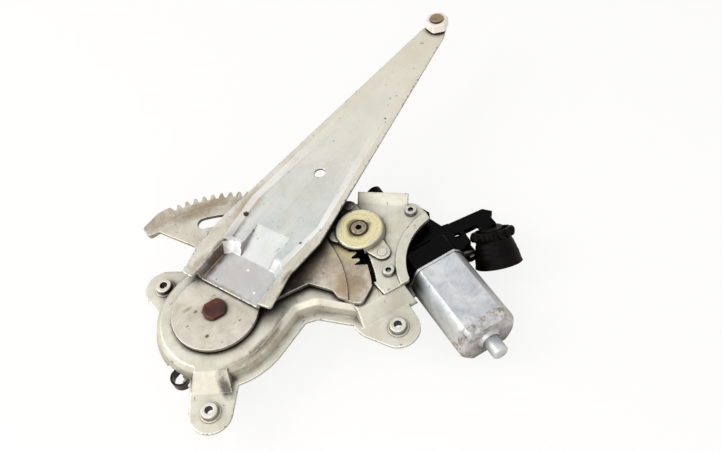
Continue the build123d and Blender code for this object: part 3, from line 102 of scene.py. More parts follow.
def wear_and_painted_light(tree, shader, place, colour, shade_colour, corner_mm, bend_mm, roughness, wall_shade_strength=0.75, chips=0.60):
    """Marks that all the plated pressings share, laid over the colour of the plating: a painted highlight on
    the bends, painted shade on steep walls and in corners, chipped edges and specks, and a black painted
    shadow wherever another part shelters it."""
    rounded = add(tree, "Bevel", {"Radius": bend_mm * MM}, samples=8)
    flat = add(tree, "NewGeometry").outputs["True Normal"]
    turned = add(tree, "VectorMath", {0: rounded.outputs["Normal"], 1: flat}, operation="DOT_PRODUCT")
    # painted highlight: where the rounded normal turns away from the true one, the bend is mixed toward near
    # white
    bend = add(tree, "ValToRGB", {"Fac": turned.outputs["Value"]}, [(0.86, 1.0), (0.985, 0.0)])
    highlight_amount = add(tree, "Math", {0: bend.outputs["Color"], 1: 0.72}, operation="MULTIPLY")
    edge_highlight = add(tree, "Mix", {"Factor": highlight_amount.outputs[0], "A": colour, "B": linear("#FFFEF8")},
                 data_type="RGBA")
    # painted shade: steep walls are mixed toward the shade colour, more the steeper they stand
    upright = add(tree, "SeparateXYZ", {0: rounded.outputs["Normal"]}).outputs["Z"]
    level = add(tree, "Math", {0: upright}, operation="ABSOLUTE")
    wall_shade_mask = add(tree, "ValToRGB", {"Fac": level.outputs[0]}, [(0.45, wall_shade_strength), (0.90, 0.0)])
    wall_shaded = add(tree, "Mix", {"Factor": wall_shade_mask.outputs["Color"], "A": edge_highlight.outputs["Result"],
                              "B": linear(shade_colour)}, data_type="RGBA")
    # chips: a 2.5 mm noise that counts only at an edge, and fine specks anywhere
    chip = add(tree, "TexNoise", {"Vector": place, "Scale": 1 / (2.5 * MM), "Detail": 4.0, "Roughness": 0.7})
    chipped = add(tree, "ValToRGB", {"Fac": chip.outputs["Fac"]}, [(chips - 0.02, 0.0), (chips + 0.02, 1.0)])
    at_edge = add(tree, "Math", {0: chipped.outputs["Color"], 1: bend.outputs["Color"]}, operation="MULTIPLY")
    speck = add(tree, "TexNoise", {"Vector": place, "Scale": 1 / (6 * MM), "Detail": 8.0, "Roughness": 0.8})
    dotted = add(tree, "ValToRGB", {"Fac": speck.outputs["Fac"]}, [(0.615, 0.0), (0.65, 0.85)])
    pitted = add(tree, "Math", {0: at_edge.outputs[0], 1: dotted.outputs["Color"]}, operation="MAXIMUM")
    specked = add(tree, "Mix", {"Factor": pitted.outputs[0], "A": wall_shaded.outputs["Result"],
                                "B": linear("#4B3A2A")}, data_type="RGBA")
    # painted shade: corners go dark, more where the noise is dense, and a face that another part shelters
    # gets a black painted shadow
    patchy = add(tree, "TexNoise", {"Vector": place, "Scale": 1 / (9 * MM), "Detail": 5.0, "Roughness": 0.65})
    close = add(tree, "AmbientOcclusion", {"Distance": corner_mm * MM}, samples=12)
    uneven = add(tree, "Math", {0: patchy.outputs["Fac"], 1: 0.5, 2: close.outputs["AO"]},
                 operation="MULTIPLY_ADD")
    corner_shade_mask = add(tree, "ValToRGB", {"Fac": uneven.outputs[0]}, [(0.82, 0.95), (1.04, 0.0)])
    corner_shaded = add(tree, "Mix", {"Factor": corner_shade_mask.outputs["Color"], "A": specked.outputs["Result"],
                               "B": linear(shade_colour)}, data_type="RGBA")
    # painted shadow: faces that another part covers within 40 mm are mixed toward near black
    open_sky = add(tree, "AmbientOcclusion", {"Distance": 40 * MM}, samples=12)
    under_part_shadow_mask = add(tree, "ValToRGB", {"Fac": open_sky.outputs["AO"]}, [(0.44, 0.98), (0.80, 0.0)])
    under_part_shadowed = add(tree, "Mix", {"Factor": under_part_shadow_mask.outputs["Color"], "A": corner_shaded.outputs["Result"],
                              "B": linear("#171009")}, data_type="RGBA")
    tree.links.new(under_part_shadowed.outputs["Result"], shader.inputs["Base Color"])
    # a 2 mm mottle breaks up the gloss and the surface
    mottle = add(tree, "TexNoise", {"Vector": place, "Scale": 1 / (2 * MM), "Detail": 3.0, "Roughness": 0.7})
    gloss = add(tree, "MapRange", {"Value": mottle.outputs["Fac"], "From Min": 0.3, "From Max": 0.7,
                                   "To Min": roughness - 0.06, "To Max": roughness + 0.10})
    tree.links.new(gloss.outputs["Result"], shader.inputs["Roughness"])
    relief = add(tree, "Bump", {"Height": mottle.outputs["Fac"], "Distance": 0.05 * MM, "Strength": 0.45,
                                "Normal": rounded.outputs["Normal"]})
    tree.links.new(relief.outputs["Normal"], shader.inputs["Normal"])


def stain_or_shadow(tree, place, colour, centre, half, turn, shade, amount):
    """A ragged stain, or a painted shadow where it is given a dark shade, on what faces up or stands
    upright: an ellipse in plan, with its middle and its half sizes in mm and its turn in degrees."""
    local = add(tree, "Mapping", {"Vector": place, "Location": (centre[0] * MM, centre[1] * MM, 0),
                                  "Rotation": (0, 0, radians(turn)),
                                  "Scale": (half[0] * MM, half[1] * MM, 1.0)}, vector_type="TEXTURE")
    out = add(tree, "VectorMath", {0: local.outputs["Vector"]}, operation="LENGTH")
    torn = add(tree, "TexNoise", {"Vector": place, "Scale": 1 / (5 * MM), "Detail": 7.0, "Roughness": 0.75})
    ragged = add(tree, "Math", {0: torn.outputs["Fac"], 1: 1.6, 2: out.outputs["Value"]},
                 operation="MULTIPLY_ADD")
    within = add(tree, "MapRange", {"Value": ragged.outputs[0], "From Min": 2.00, "From Max": 1.20,
                                    "To Max": amount})
    # what faces down is left unmarked
    tilt = add(tree, "SeparateXYZ", {0: add(tree, "NewGeometry").outputs["True Normal"]}).outputs["Z"]
    upper = add(tree, "MapRange", {"Value": tilt, "From Min": -0.3, "From Max": 0.0})
    laid = add(tree, "Math", {0: within.outputs["Result"], 1: upper.outputs["Result"]}, operation="MULTIPLY")
    return add(tree, "Mix", {"Factor": laid.outputs[0], "A": colour, "B": linear(shade)},
               data_type="RGBA").outputs["Result"]


def dress(material, *names):
    """Gives CAD nodes their finish."""
    for name in names:
        piece = frame["nodes"][name]
        piece.data.materials.clear()
        piece.data.materials.append(material)


# Zinc-plated pressed steel, passivated: a warm silver grey, clouded where damp has dulled the plating,
# with olive painted shade on the walls.
# A stain is its middle and half sizes in mm, its turn in degrees, its colour and its strength. Three lie
# along the sloped wall; the fourth, right of the lower ear's ramp, and the last, under the arm, are painted
# shadows.
PLATE_STAINS_AND_SHADOWS = (((31.5, 18.0), (16.0, 3.4), -4.0, "#66553A", 0.62),
                ((51.5, 21.5), (17.0, 3.6), 18.0, "#5A482E", 0.72),
                ((68.0, 29.0), (14.0, 2.6), 38.0, "#6A593F", 0.55),
                ((17.0, 10.0), (5.0, 10.0), 0.0, "#382B1A", 0.92),
                ((14.0, -13.5), (3.0, 1.4), 0.0, "#4A3B29", 0.70),
                ((109.0, 59.0), (30.0, 9.0), 33.0, "#2A2118", 0.80))
pressing, tree, shader, place = start("zinc_plated_pressing")
plating = clouded(tree, place, "#E1DDCE", "#CAC5B3", 18)
for centre, half, turn, shade, amount in PLATE_STAINS_AND_SHADOWS:
    plating = stain_or_shadow(tree, place, plating, centre, half, turn, shade, amount)
wear_and_painted_light(tree, shader, place, plating, "#5A5138", 8, 2.2, 0.36, wall_shade_strength=0.42)
shader.inputs["Metallic"].default_value = 0.35
dress(pressing, "base_plate")

# ---- weld nuts ----------------------------------------------------------------------------------
# Three turned M6 nuts are projection welded to the ears. Their heavier zinc has stayed pale, with painted
# shade only at their feet, and the bracket's rivets have the same finish.
nut_zinc, tree, shader, place = start("zinc_plated_turned_nut")
plating = clouded(tree, place, "#E2DED2", "#C9C3B4", 8)
wear_and_painted_light(tree, shader, place, plating, "#9A917C", 2, 0.9, 0.38, wall_shade_strength=0.30, chips=0.66)
shader.inputs["Metallic"].default_value = 0.5
dress(nut_zinc, "weld_nuts", "bracket_rivets")

# ---- pivot --------------------------------------------------------------------------------------
# The pivot pin is bare forged steel, riveted over a ring. Its head has a smooth red-brown skin of rust
# and old grease, with a painted highlight that lightens its edges.
pin_steel, tree, shader, place = start("bare_steel_rusted")
rust = add(tree, "TexNoise", {"Vector": place, "Scale": 1 / (7 * MM), "Detail": 5.0, "Roughness": 0.55})
tone = add(tree, "ValToRGB", {"Fac": rust.outputs["Fac"]},
           [(0.30, linear("#2A100A")), (0.54, linear("#46200F")), (0.74, linear("#6A3620"))])
rounded = add(tree, "Bevel", {"Radius": 1.6 * MM}, samples=8)
flat = add(tree, "NewGeometry").outputs["True Normal"]
turned = add(tree, "VectorMath", {0: rounded.outputs["Normal"], 1: flat}, operation="DOT_PRODUCT")
bend = add(tree, "ValToRGB", {"Fac": turned.outputs["Value"]}, [(0.86, 0.5), (0.985, 0.0)])
# painted highlight: the head's edges are mixed half way toward a light brown
edge_highlight = add(tree, "Mix", {"Factor": bend.outputs["Color"], "A": tone.outputs["Color"],
                           "B": linear("#8A6048")}, data_type="RGBA")
tree.links.new(edge_highlight.outputs["Result"], shader.inputs["Base Color"])
relief = add(tree, "Bump", {"Height": rust.outputs["Fac"], "Distance": 0.10 * MM, "Strength": 0.5,
                            "Normal": rounded.outputs["Normal"]})
tree.links.new(relief.outputs["Normal"], shader.inputs["Normal"])
shader.inputs["Metallic"].default_value = 0.3
shader.inputs["Roughness"].default_value = 0.36
dress(pin_steel, "pivot_pin")

# The ring under the head is zinc plated and yellowed with grease, so it reads as a pale cream line.
ring_zinc, tree, shader, place = start("zinc_plated_ring_greased")
plating = clouded(tree, place, "#E9E1C8", "#BFB392", 6)
wear_and_painted_light(tree, shader, place, plating, "#5C4C34", 3, 0.5, 0.30, wall_shade_strength=0.5)
shader.inputs["Metallic"].default_value = 0.55
dress(ring_zinc, "pivot_ring")

# The roller's stud is plated too, but stained brown with old grease.
stud_steel, tree, shader, place = start("zinc_plated_stud_stained")
plating = clouded(tree, place, "#A88F70", "#7A5C40", 5)
wear_and_painted_light(tree, shader, place, plating, "#4A3626", 3, 0.5, 0.36, wall_shade_strength=0.5)
shader.inputs["Metallic"].default_value = 0.5
dress(stud_steel, "roller_stud")

# The bushes are oil-filled sintered bronze: fine grained, brown-black with oil and dirt where they show.
bush_bronze, tree, shader, place = start("oiled_sintered_bronze")
grain = add(tree, "TexNoise", {"Vector": place, "Scale": 1 / (0.8 * MM), "Detail": 2.0})
tone = add(tree, "ValToRGB", {"Fac": grain.outputs["Fac"]},
           [(0.35, linear("#1E160D")), (0.68, linear("#4C3A22"))])
tree.links.new(tone.outputs["Color"], shader.inputs["Base Color"])
relief = add(tree, "Bump", {"Height": grain.outputs["Fac"], "Distance": 0.05 * MM, "Strength": 0.6})
tree.links.new(relief.outputs["Normal"], shader.inputs["Normal"])
shader.inputs["Metallic"].default_value = 0.6
shader.inputs["Roughness"].default_value = 0.34
dress(bush_bronze, "pivot_bush", "shaft_bush", "armature_bushes")

# ---- balance spring -----------------------------------------------------------------------------
# A clock spring of oil-blackened strip lies under the boss, and its end hooks out past the plate's edge.
# Its scale makes it near black with a brown cast, and its rolled edges catch a soft glint.
spring_black, tree, shader, place = start("oil_blackened_spring_strip")
scale = add(tree, "TexNoise", {"Vector": place, "Scale": 1 / (4 * MM), "Detail": 5.0})
tone = add(tree, "ValToRGB", {"Fac": scale.outputs["Fac"]},
           [(0.35, linear("#0D0C0B")), (0.72, linear("#2C2620"))])
tree.links.new(tone.outputs["Color"], shader.inputs["Base Color"])
rounded = add(tree, "Bevel", {"Radius": 0.4 * MM}, samples=6)
tree.links.new(rounded.outputs["Normal"], shader.inputs["Normal"])
shader.inputs["Metallic"].default_value = 0.6
shader.inputs["Roughness"].default_value = 0.30
dress(spring_black, "balance_spring")

# ---- sector gear --------------------------------------------------------------------------------
# The toothed sector is stamped from 3 mm plate. Damp has stained it brown along its rim and its stop
# noses, and the pinion has worked yellow grease into its teeth and out over the face beside them.
joints = {joint["name"]: joint for joint in frame["joints"]}
PIVOT = Vector(joints["arm_swing"]["pos_m"])
OUTPUT = Vector(joints["output_turn"]["pos_m"])
RIM_AT = 95.0               # mm from the pivot, where the stained rim begins
RIM_FADE = 12.0             # mm, over which it begins, to either side
GREASE_FADE = (31.0, 19.0)  # mm from the shaft: no grease, most grease
# Given like the plate's stains; the first is not a stain but a black painted shadow in the arm's shelter.
SECTOR_STAINS_AND_SHADOWS = (((111.0, 59.0), (46.0, 13.0), 33.0, "#0C0805", 0.98),
                 ((126.0, 50.0), (30.0, 14.0), -20.0, "#A3927B", 0.55),
                 ((62.0, 157.0), (26.0, 8.0), -8.0, "#8A7456", 0.70),
                 ((125.0, 27.0), (15.0, 13.0), 0.0, "#A07F54", 0.72),
                 ((22.0, 47.2), (1.8, 1.5), 0.0, "#4A3826", 0.90),
                 ((18.2, 75.6), (4.5, 1.8), 10.0, "#8C7E68", 0.70),
                 ((22.8, 70.6), (1.6, 1.4), 0.0, "#54422F", 0.85),
                 ((47.0, 45.5), (1.3, 1.0), 0.0, "#5A4834", 0.80))
sector_zinc, tree, shader, place = start("zinc_plated_blanked_plate")
plating = clouded(tree, place, "#DAD4C6", "#BFB6A5", 16)
for centre, half, turn, shade, amount in SECTOR_STAINS_AND_SHADOWS:
    plating = stain_or_shadow(tree, place, plating, centre, half, turn, shade, amount)
flattened = add(tree, "VectorMath", {0: place, 1: (1, 1, 0)}, operation="MULTIPLY")
reach = add(tree, "VectorMath", {0: flattened.outputs["Vector"], 1: (PIVOT.x, PIVOT.y, 0)},
            operation="DISTANCE")
at_rim = add(tree, "MapRange", {"Value": reach.outputs["Value"], "From Min": (RIM_AT - RIM_FADE) * MM,
                                "From Max": (RIM_AT + RIM_FADE) * MM})
blot = add(tree, "TexNoise", {"Vector": place, "Scale": 1 / (13 * MM), "Detail": 6.0, "Roughness": 0.7,
                              "Distortion": 1.2})
patches = add(tree, "ValToRGB", {"Fac": blot.outputs["Fac"]}, [(0.42, 0.05), (0.58, 0.66)])
stained = add(tree, "Math", {0: at_rim.outputs["Result"], 1: patches.outputs["Color"]}, operation="MULTIPLY")
browned = add(tree, "Mix", {"Factor": stained.outputs[0], "A": plating, "B": linear("#8A775C")},
              data_type="RGBA")
from_pinion = add(tree, "VectorMath", {0: flattened.outputs["Vector"], 1: (OUTPUT.x, OUTPUT.y, 0)},
                  operation="DISTANCE")
greased = add(tree, "MapRange", {"Value": from_pinion.outputs["Value"], "From Min": GREASE_FADE[0] * MM,
                                 "From Max": GREASE_FADE[1] * MM, "To Max": 0.75})
yellowed = add(tree, "Mix", {"Factor": greased.outputs["Result"], "A": browned.outputs["Result"],
                             "B": linear("#D8CC8C")}, data_type="RGBA")
wear_and_painted_light(tree, shader, place, yellowed.outputs["Result"], "#6E5C42", 5, 1.2, 0.42, wall_shade_strength=0.5)
shader.inputs["Metallic"].default_value = 0.3
dress(sector_zinc, "sector_gear")

# ---- lift arm -----------------------------------------------------------------------------------
# A tapered pressing in galvanised sheet. Its web has the blue-grey clouds of the zinc, its raised side
# bands are beige with old dirt, and the left groove is brown from running water and darker from painted
# shade.
ARM_TURN = 27.0             # degrees, the arm's direction at rest
WEB_TOP = 24.4              # mm: below this is web and pad, above it the side bands
# Marks are placed in mm along and across the arm, a rust spot with its radius, a stain as on the plate.
WELDS = ((38.2, -1.5), (24.4, -17.7))
WELD_RADIUS = 1.1
RUST_SPOTS = (((76.0, 27.6), 2.2), ((73.3, -26.0), 1.0), ((48.3, -36.8), 1.8), ((206.2, -16.2), 1.0),
              ((202.5, -18.8), 0.6), ((194.3, -32.0), 1.1), ((197.5, -29.0), 0.7), ((228.0, -7.3), 0.6))
ARM_STAINS = (((30.0, 0.0), (26.0, 32.0), 0.0, "#B9B4B2", 0.70),
              ((42.0, 25.4), (34.0, 4.6), 2.0, "#4A321D", 0.95),
              ((84.0, 31.0), (25.0, 8.0), 0.0, "#9C8666", 0.72),
              ((270.0, 0.0), (190.0, 70.0), 0.0, "#E6DFCC", 0.65),
              ((16.5, 8.0), (2.4, 30.0), 0.0, "#7A6248", 0.55),
              ((45.0, -36.5), (8.0, 3.4), -6.0, "#5E4831", 0.70),
              ((24.0, 31.0), (9.0, 3.0), 0.0, "#9A8468", 0.55))
arm_zinc, tree, shader, place = start("galvanised_pressing")
along = add(tree, "Mapping", {"Vector": place, "Location": tuple(PIVOT),
                              "Rotation": (0, 0, radians(ARM_TURN))},
            vector_type="TEXTURE").outputs["Vector"]
web = clouded(tree, along, "#DFE1DD", "#C2C7C7", 38)
band = clouded(tree, along, "#DFDCD0", "#C6BFAF", 24)
height = add(tree, "SeparateXYZ", {0: place}).outputs["Z"]
raised = add(tree, "MapRange", {"Value": height, "From Min": (WEB_TOP - 0.3) * MM,
                                "From Max": (WEB_TOP + 0.6) * MM})
sheet = add(tree, "Mix", {"Factor": raised.outputs["Result"], "A": web, "B": band}, data_type="RGBA")
# rubbing along the arm has drawn the dirt into streaks 5 mm wide and 60 mm long
drawn = add(tree, "VectorMath", {0: along, 1: (1 / (60 * MM), 1 / (5 * MM), 1 / (20 * MM))},
            operation="MULTIPLY")
streak = add(tree, "TexNoise", {"Vector": drawn.outputs["Vector"], "Scale": 1.0, "Detail": 5.0,
                                "Roughness": 0.6})
streaks = add(tree, "ValToRGB", {"Fac": streak.outputs["Fac"]}, [(0.50, 0.0), (0.78, 0.26)])
streaked = add(tree, "Mix", {"Factor": streaks.outputs["Color"], "A": sheet.outputs["Result"],
                             "B": linear("#A3967F")}, data_type="RGBA")
# the left half is browner, and its groove darker still: brown stain plus painted shade where the groove is
# occluded
across = add(tree, "SeparateXYZ", {0: along}).outputs["Y"]
left = add(tree, "MapRange", {"Value": across, "From Min": -4 * MM, "From Max": 30 * MM})
groove = add(tree, "AmbientOcclusion", {"Distance": 9 * MM}, samples=12)
groove_shade_mask = add(tree, "ValToRGB", {"Fac": groove.outputs["AO"]}, [(0.62, 0.95), (0.97, 0.0)])
groove_stain_and_shade_mask = add(tree, "Math", {0: left.outputs["Result"], 1: groove_shade_mask.outputs["Color"]}, operation="MULTIPLY")
groove_stained_and_shaded = add(tree, "Mix", {"Factor": groove_stain_and_shade_mask.outputs[0], "A": streaked.outputs["Result"],
                           "B": linear("#553B24")}, data_type="RGBA")
blot = add(tree, "TexNoise", {"Vector": along, "Scale": 1 / (16 * MM), "Detail": 7.0, "Roughness": 0.72,
                              "Distortion": 0.8})
faint = add(tree, "ValToRGB", {"Fac": blot.outputs["Fac"]}, [(0.52, 0.0), (0.70, 0.45)])
tinted = add(tree, "Math", {0: faint.outputs["Color"], 1: left.outputs["Result"]}, operation="MULTIPLY")
colour = add(tree, "Mix", {"Factor": tinted.outputs[0], "A": groove_stained_and_shaded.outputs["Result"],
                           "B": linear("#A58565")}, data_type="RGBA").outputs["Result"]
for centre, half, turn, shade, amount in ARM_STAINS:
    colour = stain_or_shadow(tree, along, colour, centre, half, turn, shade, amount)
# painted highlight: the tilted ramp from pad to web is mixed toward white
facing = add(tree, "SeparateXYZ", {0: add(tree, "NewGeometry").outputs["True Normal"]}).outputs["Z"]
tilt = add(tree, "ValToRGB", {"Fac": facing}, [(0.55, 0.0), (0.68, 0.8), (0.95, 0.8), (0.985, 0.0)])
colour = add(tree, "Mix", {"Factor": tilt.outputs["Color"], "A": colour, "B": linear("#FCFDFD")},
             data_type="RGBA").outputs["Result"]
# two pale weld marks on the pad, about 2 mm across, and a few rust spots
level_place = add(tree, "VectorMath", {0: along, 1: (1, 1, 0)}, operation="MULTIPLY").outputs["Vector"]
ragged = add(tree, "TexNoise", {"Vector": place, "Scale": 1 / (1.8 * MM), "Detail": 3.0})
for (x, y), radius, shade in ([(spot, WELD_RADIUS, "#F4F4F0") for spot in WELDS]
                              + [(spot, size, "#3E2818") for spot, size in RUST_SPOTS]):
    gap = add(tree, "VectorMath", {0: level_place, 1: (x * MM, y * MM, 0)}, operation="DISTANCE")
    wavy = add(tree, "Math", {0: ragged.outputs["Fac"], 1: 1.6 * MM, 2: gap.outputs["Value"]},
               operation="MULTIPLY_ADD")
    mark = add(tree, "MapRange", {"Value": wavy.outputs[0], "From Min": (radius + 1.0) * MM,
                                  "From Max": (radius + 0.4) * MM})
    colour = add(tree, "Mix", {"Factor": mark.outputs["Result"], "A": colour, "B": linear(shade)},
                 data_type="RGBA").outputs["Result"]
wear_and_painted_light(tree, shader, place, colour, "#6E5F4A", 6, 2.0, 0.42, wall_shade_strength=0.25, chips=0.565)
shader.inputs["Metallic"].default_value = 0.35
dress(arm_zinc, "lift_arm")

# ---- roller -------------------------------------------------------------------------------------
# The roller is natural nylon: cream-coloured, with faint clouds and a soft sheen, and light sinks a
# little way into it, so its edges look soft.
roller_nylon, tree, shader, place = start("natural_nylon")
cloud = add(tree, "TexNoise", {"Vector": place, "Scale": 1 / (8 * MM), "Detail": 4.0})
tone = add(tree, "ValToRGB", {"Fac": cloud.outputs["Fac"]},
           [(0.35, linear("#FFF9F0")), (0.70, linear("#F5EADD"))])
tree.links.new(tone.outputs["Color"], shader.inputs["Base Color"])
rounded = add(tree, "Bevel", {"Radius": 0.8 * MM}, samples=6)
tree.links.new(rounded.outputs["Normal"], shader.inputs["Normal"])
shader.inputs["Roughness"].default_value = 0.42
shader.inputs["Subsurface Weight"].default_value = 0.15
shader.inputs["Subsurface Radius"].default_value = (2 * MM, 1.5 * MM, 1 * MM)
dress(roller_nylon, "tip_roller")

# ---- pinion and bracket -------------------------------------------------------------------------
# A domed steel bracket holds the shaft's outer end. Yellow grease has crept over the dome from the
# shaft, in rings that turning has drawn, and goes dark close to the shaft.
FILM_FADE = (24.0, 19.0)    # mm from the shaft, noise added: no film, full film
CAKED_FADE = (14.2, 12.2)   # mm from the shaft, noise added: no dark grease, full
RING_PITCH = 3.4            # mm
bracket_zinc, tree, shader, place = start("zinc_plated_dome_greased")
plating = clouded(tree, place, "#E6E3D6", "#CFC8B2", 12)
flattened = add(tree, "VectorMath", {0: place, 1: (1, 1, 0)}, operation="MULTIPLY")
radius = add(tree, "VectorMath", {0: flattened.outputs["Vector"], 1: (OUTPUT.x, OUTPUT.y, 0)},
             operation="DISTANCE")
smear = add(tree, "TexNoise", {"Vector": place, "Scale": 1 / (11 * MM), "Detail": 4.0})
crept = add(tree, "Math", {0: smear.outputs["Fac"], 1: 9 * MM, 2: radius.outputs["Value"]},
            operation="MULTIPLY_ADD")
film = add(tree, "MapRange", {"Value": crept.outputs[0], "From Min": FILM_FADE[0] * MM,
                              "From Max": FILM_FADE[1] * MM, "To Max": 0.92})
creamy = add(tree, "Mix", {"Factor": film.outputs["Result"], "A": plating, "B": linear("#E8DDAC")},
             data_type="RGBA")
swirl = add(tree, "Math", {0: crept.outputs[0], 1: 2 * pi / (RING_PITCH * MM)}, operation="MULTIPLY")
wave = add(tree, "Math", {0: swirl.outputs[0]}, operation="SINE")
ring = add(tree, "ValToRGB", {"Fac": wave.outputs[0]}, [(0.55, 0.0), (0.98, 0.30)])
ringed = add(tree, "Mix", {"Factor": ring.outputs["Color"], "A": creamy.outputs["Result"],
                           "B": linear("#A99C62")}, data_type="RGBA")
caked = add(tree, "MapRange", {"Value": crept.outputs[0], "From Min": CAKED_FADE[0] * MM,
                               "From Max": CAKED_FADE[1] * MM, "To Max": 0.85})
dark = add(tree, "Mix", {"Factor": caked.outputs["Result"], "A": ringed.outputs["Result"],
                         "B": linear("#5E5432")}, data_type="RGBA")
wear_and_painted_light(tree, shader, place, dark.outputs["Result"], "#736A48", 5, 1.6, 0.30, wall_shade_strength=0.45)
shader.inputs["Metallic"].default_value = 0.35
dress(bracket_zinc, "pinion_bracket")

# The shaft, the pinion and the rest of the train are hardened steel, filmed with brown grease.
gear_steel, tree, shader, place = start("hardened_steel_greased")
plating = clouded(tree, place, "#B0A488", "#7D7058", 5)
wear_and_painted_light(tree, shader, place, plating, "#1E180F", 3, 0.5, 0.30, wall_shade_strength=0.4)
shader.inputs["Metallic"].default_value = 0.7
dress(gear_steel, "pinion", "output_shaft", "drive_plate", "armature_shaft", "thrust_ball")

# ---- gear housing -------------------------------------------------------------------------------
# Moulded black glass-filled nylon: near black with a glossy skin, a faint orange peel from the tool and
# thin clouds of brown dust that dull it.
housing_black, tree, shader, place = start("moulded_glass_filled_nylon")
dust = add(tree, "TexNoise", {"Vector": place, "Scale": 1 / (16 * MM), "Detail": 7.0, "Roughness": 0.7})
tone = add(tree, "ValToRGB", {"Fac": dust.outputs["Fac"]},
           [(0.50, linear("#020202")), (0.88, linear("#0C0A08"))])
tree.links.new(tone.outputs["Color"], shader.inputs["Base Color"])
peel = add(tree, "TexNoise", {"Vector": place, "Scale": 1 / (1.4 * MM), "Detail": 3.0, "Roughness": 0.6})
rounded = add(tree, "Bevel", {"Radius": 0.8 * MM}, samples=8)
relief = add(tree, "Bump", {"Height": peel.outputs["Fac"], "Distance": 0.04 * MM, "Strength": 0.5,
                            "Normal": rounded.outputs["Normal"]})
tree.links.new(relief.outputs["Normal"], shader.inputs["Normal"])
gloss = add(tree, "MapRange", {"Value": dust.outputs["Fac"], "From Min": 0.4, "From Max": 0.8,
                               "To Min": 0.22, "To Max": 0.5})
tree.links.new(gloss.outputs["Result"], shader.inputs["Roughness"])
shader.inputs["Specular IOR Level"].default_value = 0.06
dress(housing_black, "gear_housing", "housing_cover", "connector_housing")

# ---- screws -------------------------------------------------------------------------------------
# Three zinc-plated screws hold the motor unit up to the plate, and two more hold the can. Cold heading
# leaves them smooth and bright, with painted shade in their recesses.
screw_zinc, tree, shader, place = start("zinc_plated_cold_headed_screw")
plating = clouded(tree, place, "#E4E1D8", "#BCB7A9", 4)
wear_and_painted_light(tree, shader, place, plating, "#4C4535", 2, 0.5, 0.30, wall_shade_strength=0.4)
shader.inputs["Metallic"].default_value = 0.7
dress(screw_zinc, "motor_screws", "can_screws")

# ---- motor can ----------------------------------------------------------------------------------
# The can is deep-drawn steel in dull silver zinc with bluish clouds. Dirt has caked brown round its
# closed end, and its long edges carry a painted highlight.
can = frame["nodes"]["motor_can"]
CAN_END = min(vertex.co.y for vertex in can.data.vertices)
CRUST_SPREAD = -34.0        # mm, how far the noise shifts the crust along the can
CRUST_AT = 1.0              # mm from the can's end
CRUST_FADE = (7.0, 2.0)     # mm to either side of it, noise added: no crust, full
can_zinc, tree, shader, place = start("zinc_plated_drawn_can")
plating = clouded(tree, place, "#DBDBDB", "#B3B8BD", 13)
lengthwise = add(tree, "SeparateXYZ", {0: place}).outputs["Y"]
blot = add(tree, "TexNoise", {"Vector": place, "Scale": 1 / (8 * MM), "Detail": 7.0, "Roughness": 0.75})
shifted = add(tree, "Math", {0: blot.outputs["Fac"], 1: CRUST_SPREAD * MM, 2: lengthwise},
              operation="MULTIPLY_ADD")
from_rim = add(tree, "Math", {0: shifted.outputs[0], 1: CAN_END + CRUST_AT * MM}, operation="SUBTRACT")
apart = add(tree, "Math", {0: from_rim.outputs[0]}, operation="ABSOLUTE")
caked = add(tree, "MapRange", {"Value": apart.outputs[0], "From Min": CRUST_FADE[0] * MM,
                               "From Max": CRUST_FADE[1] * MM, "To Max": 0.85})
crust = add(tree, "TexNoise", {"Vector": place, "Scale": 1 / (4 * MM), "Detail": 7.0, "Roughness": 0.75})
broken = add(tree, "ValToRGB", {"Fac": crust.outputs["Fac"]}, [(0.46, 0.0), (0.58, 1.0)])
left_on = add(tree, "Math", {0: caked.outputs["Result"], 1: broken.outputs["Color"]}, operation="MULTIPLY")
dirty = add(tree, "Mix", {"Factor": left_on.outputs[0], "A": plating, "B": linear("#7E6A4C")},
            data_type="RGBA")
wear_and_painted_light(tree, shader, place, dirty.outputs["Result"], "#6E6352", 4, 1.4, 0.38, wall_shade_strength=0.08, chips=0.60)
shader.inputs["Metallic"].default_value = 0.5
dress(can_zinc, "motor_can")

# ---- inside the motor and the gearbox -----------------------------------------------------------
# Enamelled copper windings on a stacked core run between ground ferrite magnets; a natural acetal wheel
# drives the shaft through rubber cushions.

# Enamelled copper: red-brown metal, banded where one turn lies beside the next.
copper, tree, shader, place = start("enamelled_copper")
turns = add(tree, "TexWave", {"Vector": place, "Scale": 1 / (4 * MM), "Distortion": 0.4},
            bands_direction="Y")
tone = add(tree, "ValToRGB", {"Fac": turns.outputs["Fac"]},
           [(0.2, linear("#7A3E1C")), (0.7, linear("#C47A45"))])
tree.links.new(tone.outputs["Color"], shader.inputs["Base Color"])
shader.inputs["Metallic"].default_value = 0.9
shader.inputs["Roughness"].default_value = 0.3
dress(copper, "windings", "commutator", "terminals")

# Ground ferrite: a dull dark grey with a fine grain, shared with the carbon brushes.
ferrite, tree, shader, place = start("ground_ferrite")
grain = add(tree, "TexNoise", {"Vector": place, "Scale": 1 / (1 * MM), "Detail": 3.0})
tone = add(tree, "ValToRGB", {"Fac": grain.outputs["Fac"]},
           [(0.3, linear("#2B2B2D")), (0.7, linear("#3E3E40"))])
tree.links.new(tone.outputs["Color"], shader.inputs["Base Color"])
shader.inputs["Roughness"].default_value = 0.55
dress(ferrite, "magnets", "brushes")

# Stacked laminations: grey steel, striped along the shaft by the sheets' edges.
lamination, tree, shader, place = start("stacked_laminations")
layers = add(tree, "TexWave", {"Vector": place, "Scale": 1 / (6 * MM)}, bands_direction="Y")
tone = add(tree, "ValToRGB", {"Fac": layers.outputs["Fac"]},
           [(0.2, linear("#4A4B4D")), (0.8, linear("#7E8082"))])
tree.links.new(tone.outputs["Color"], shader.inputs["Base Color"])
shader.inputs["Metallic"].default_value = 0.9
shader.inputs["Roughness"].default_value = 0.4
dress(lamination, "armature_core")

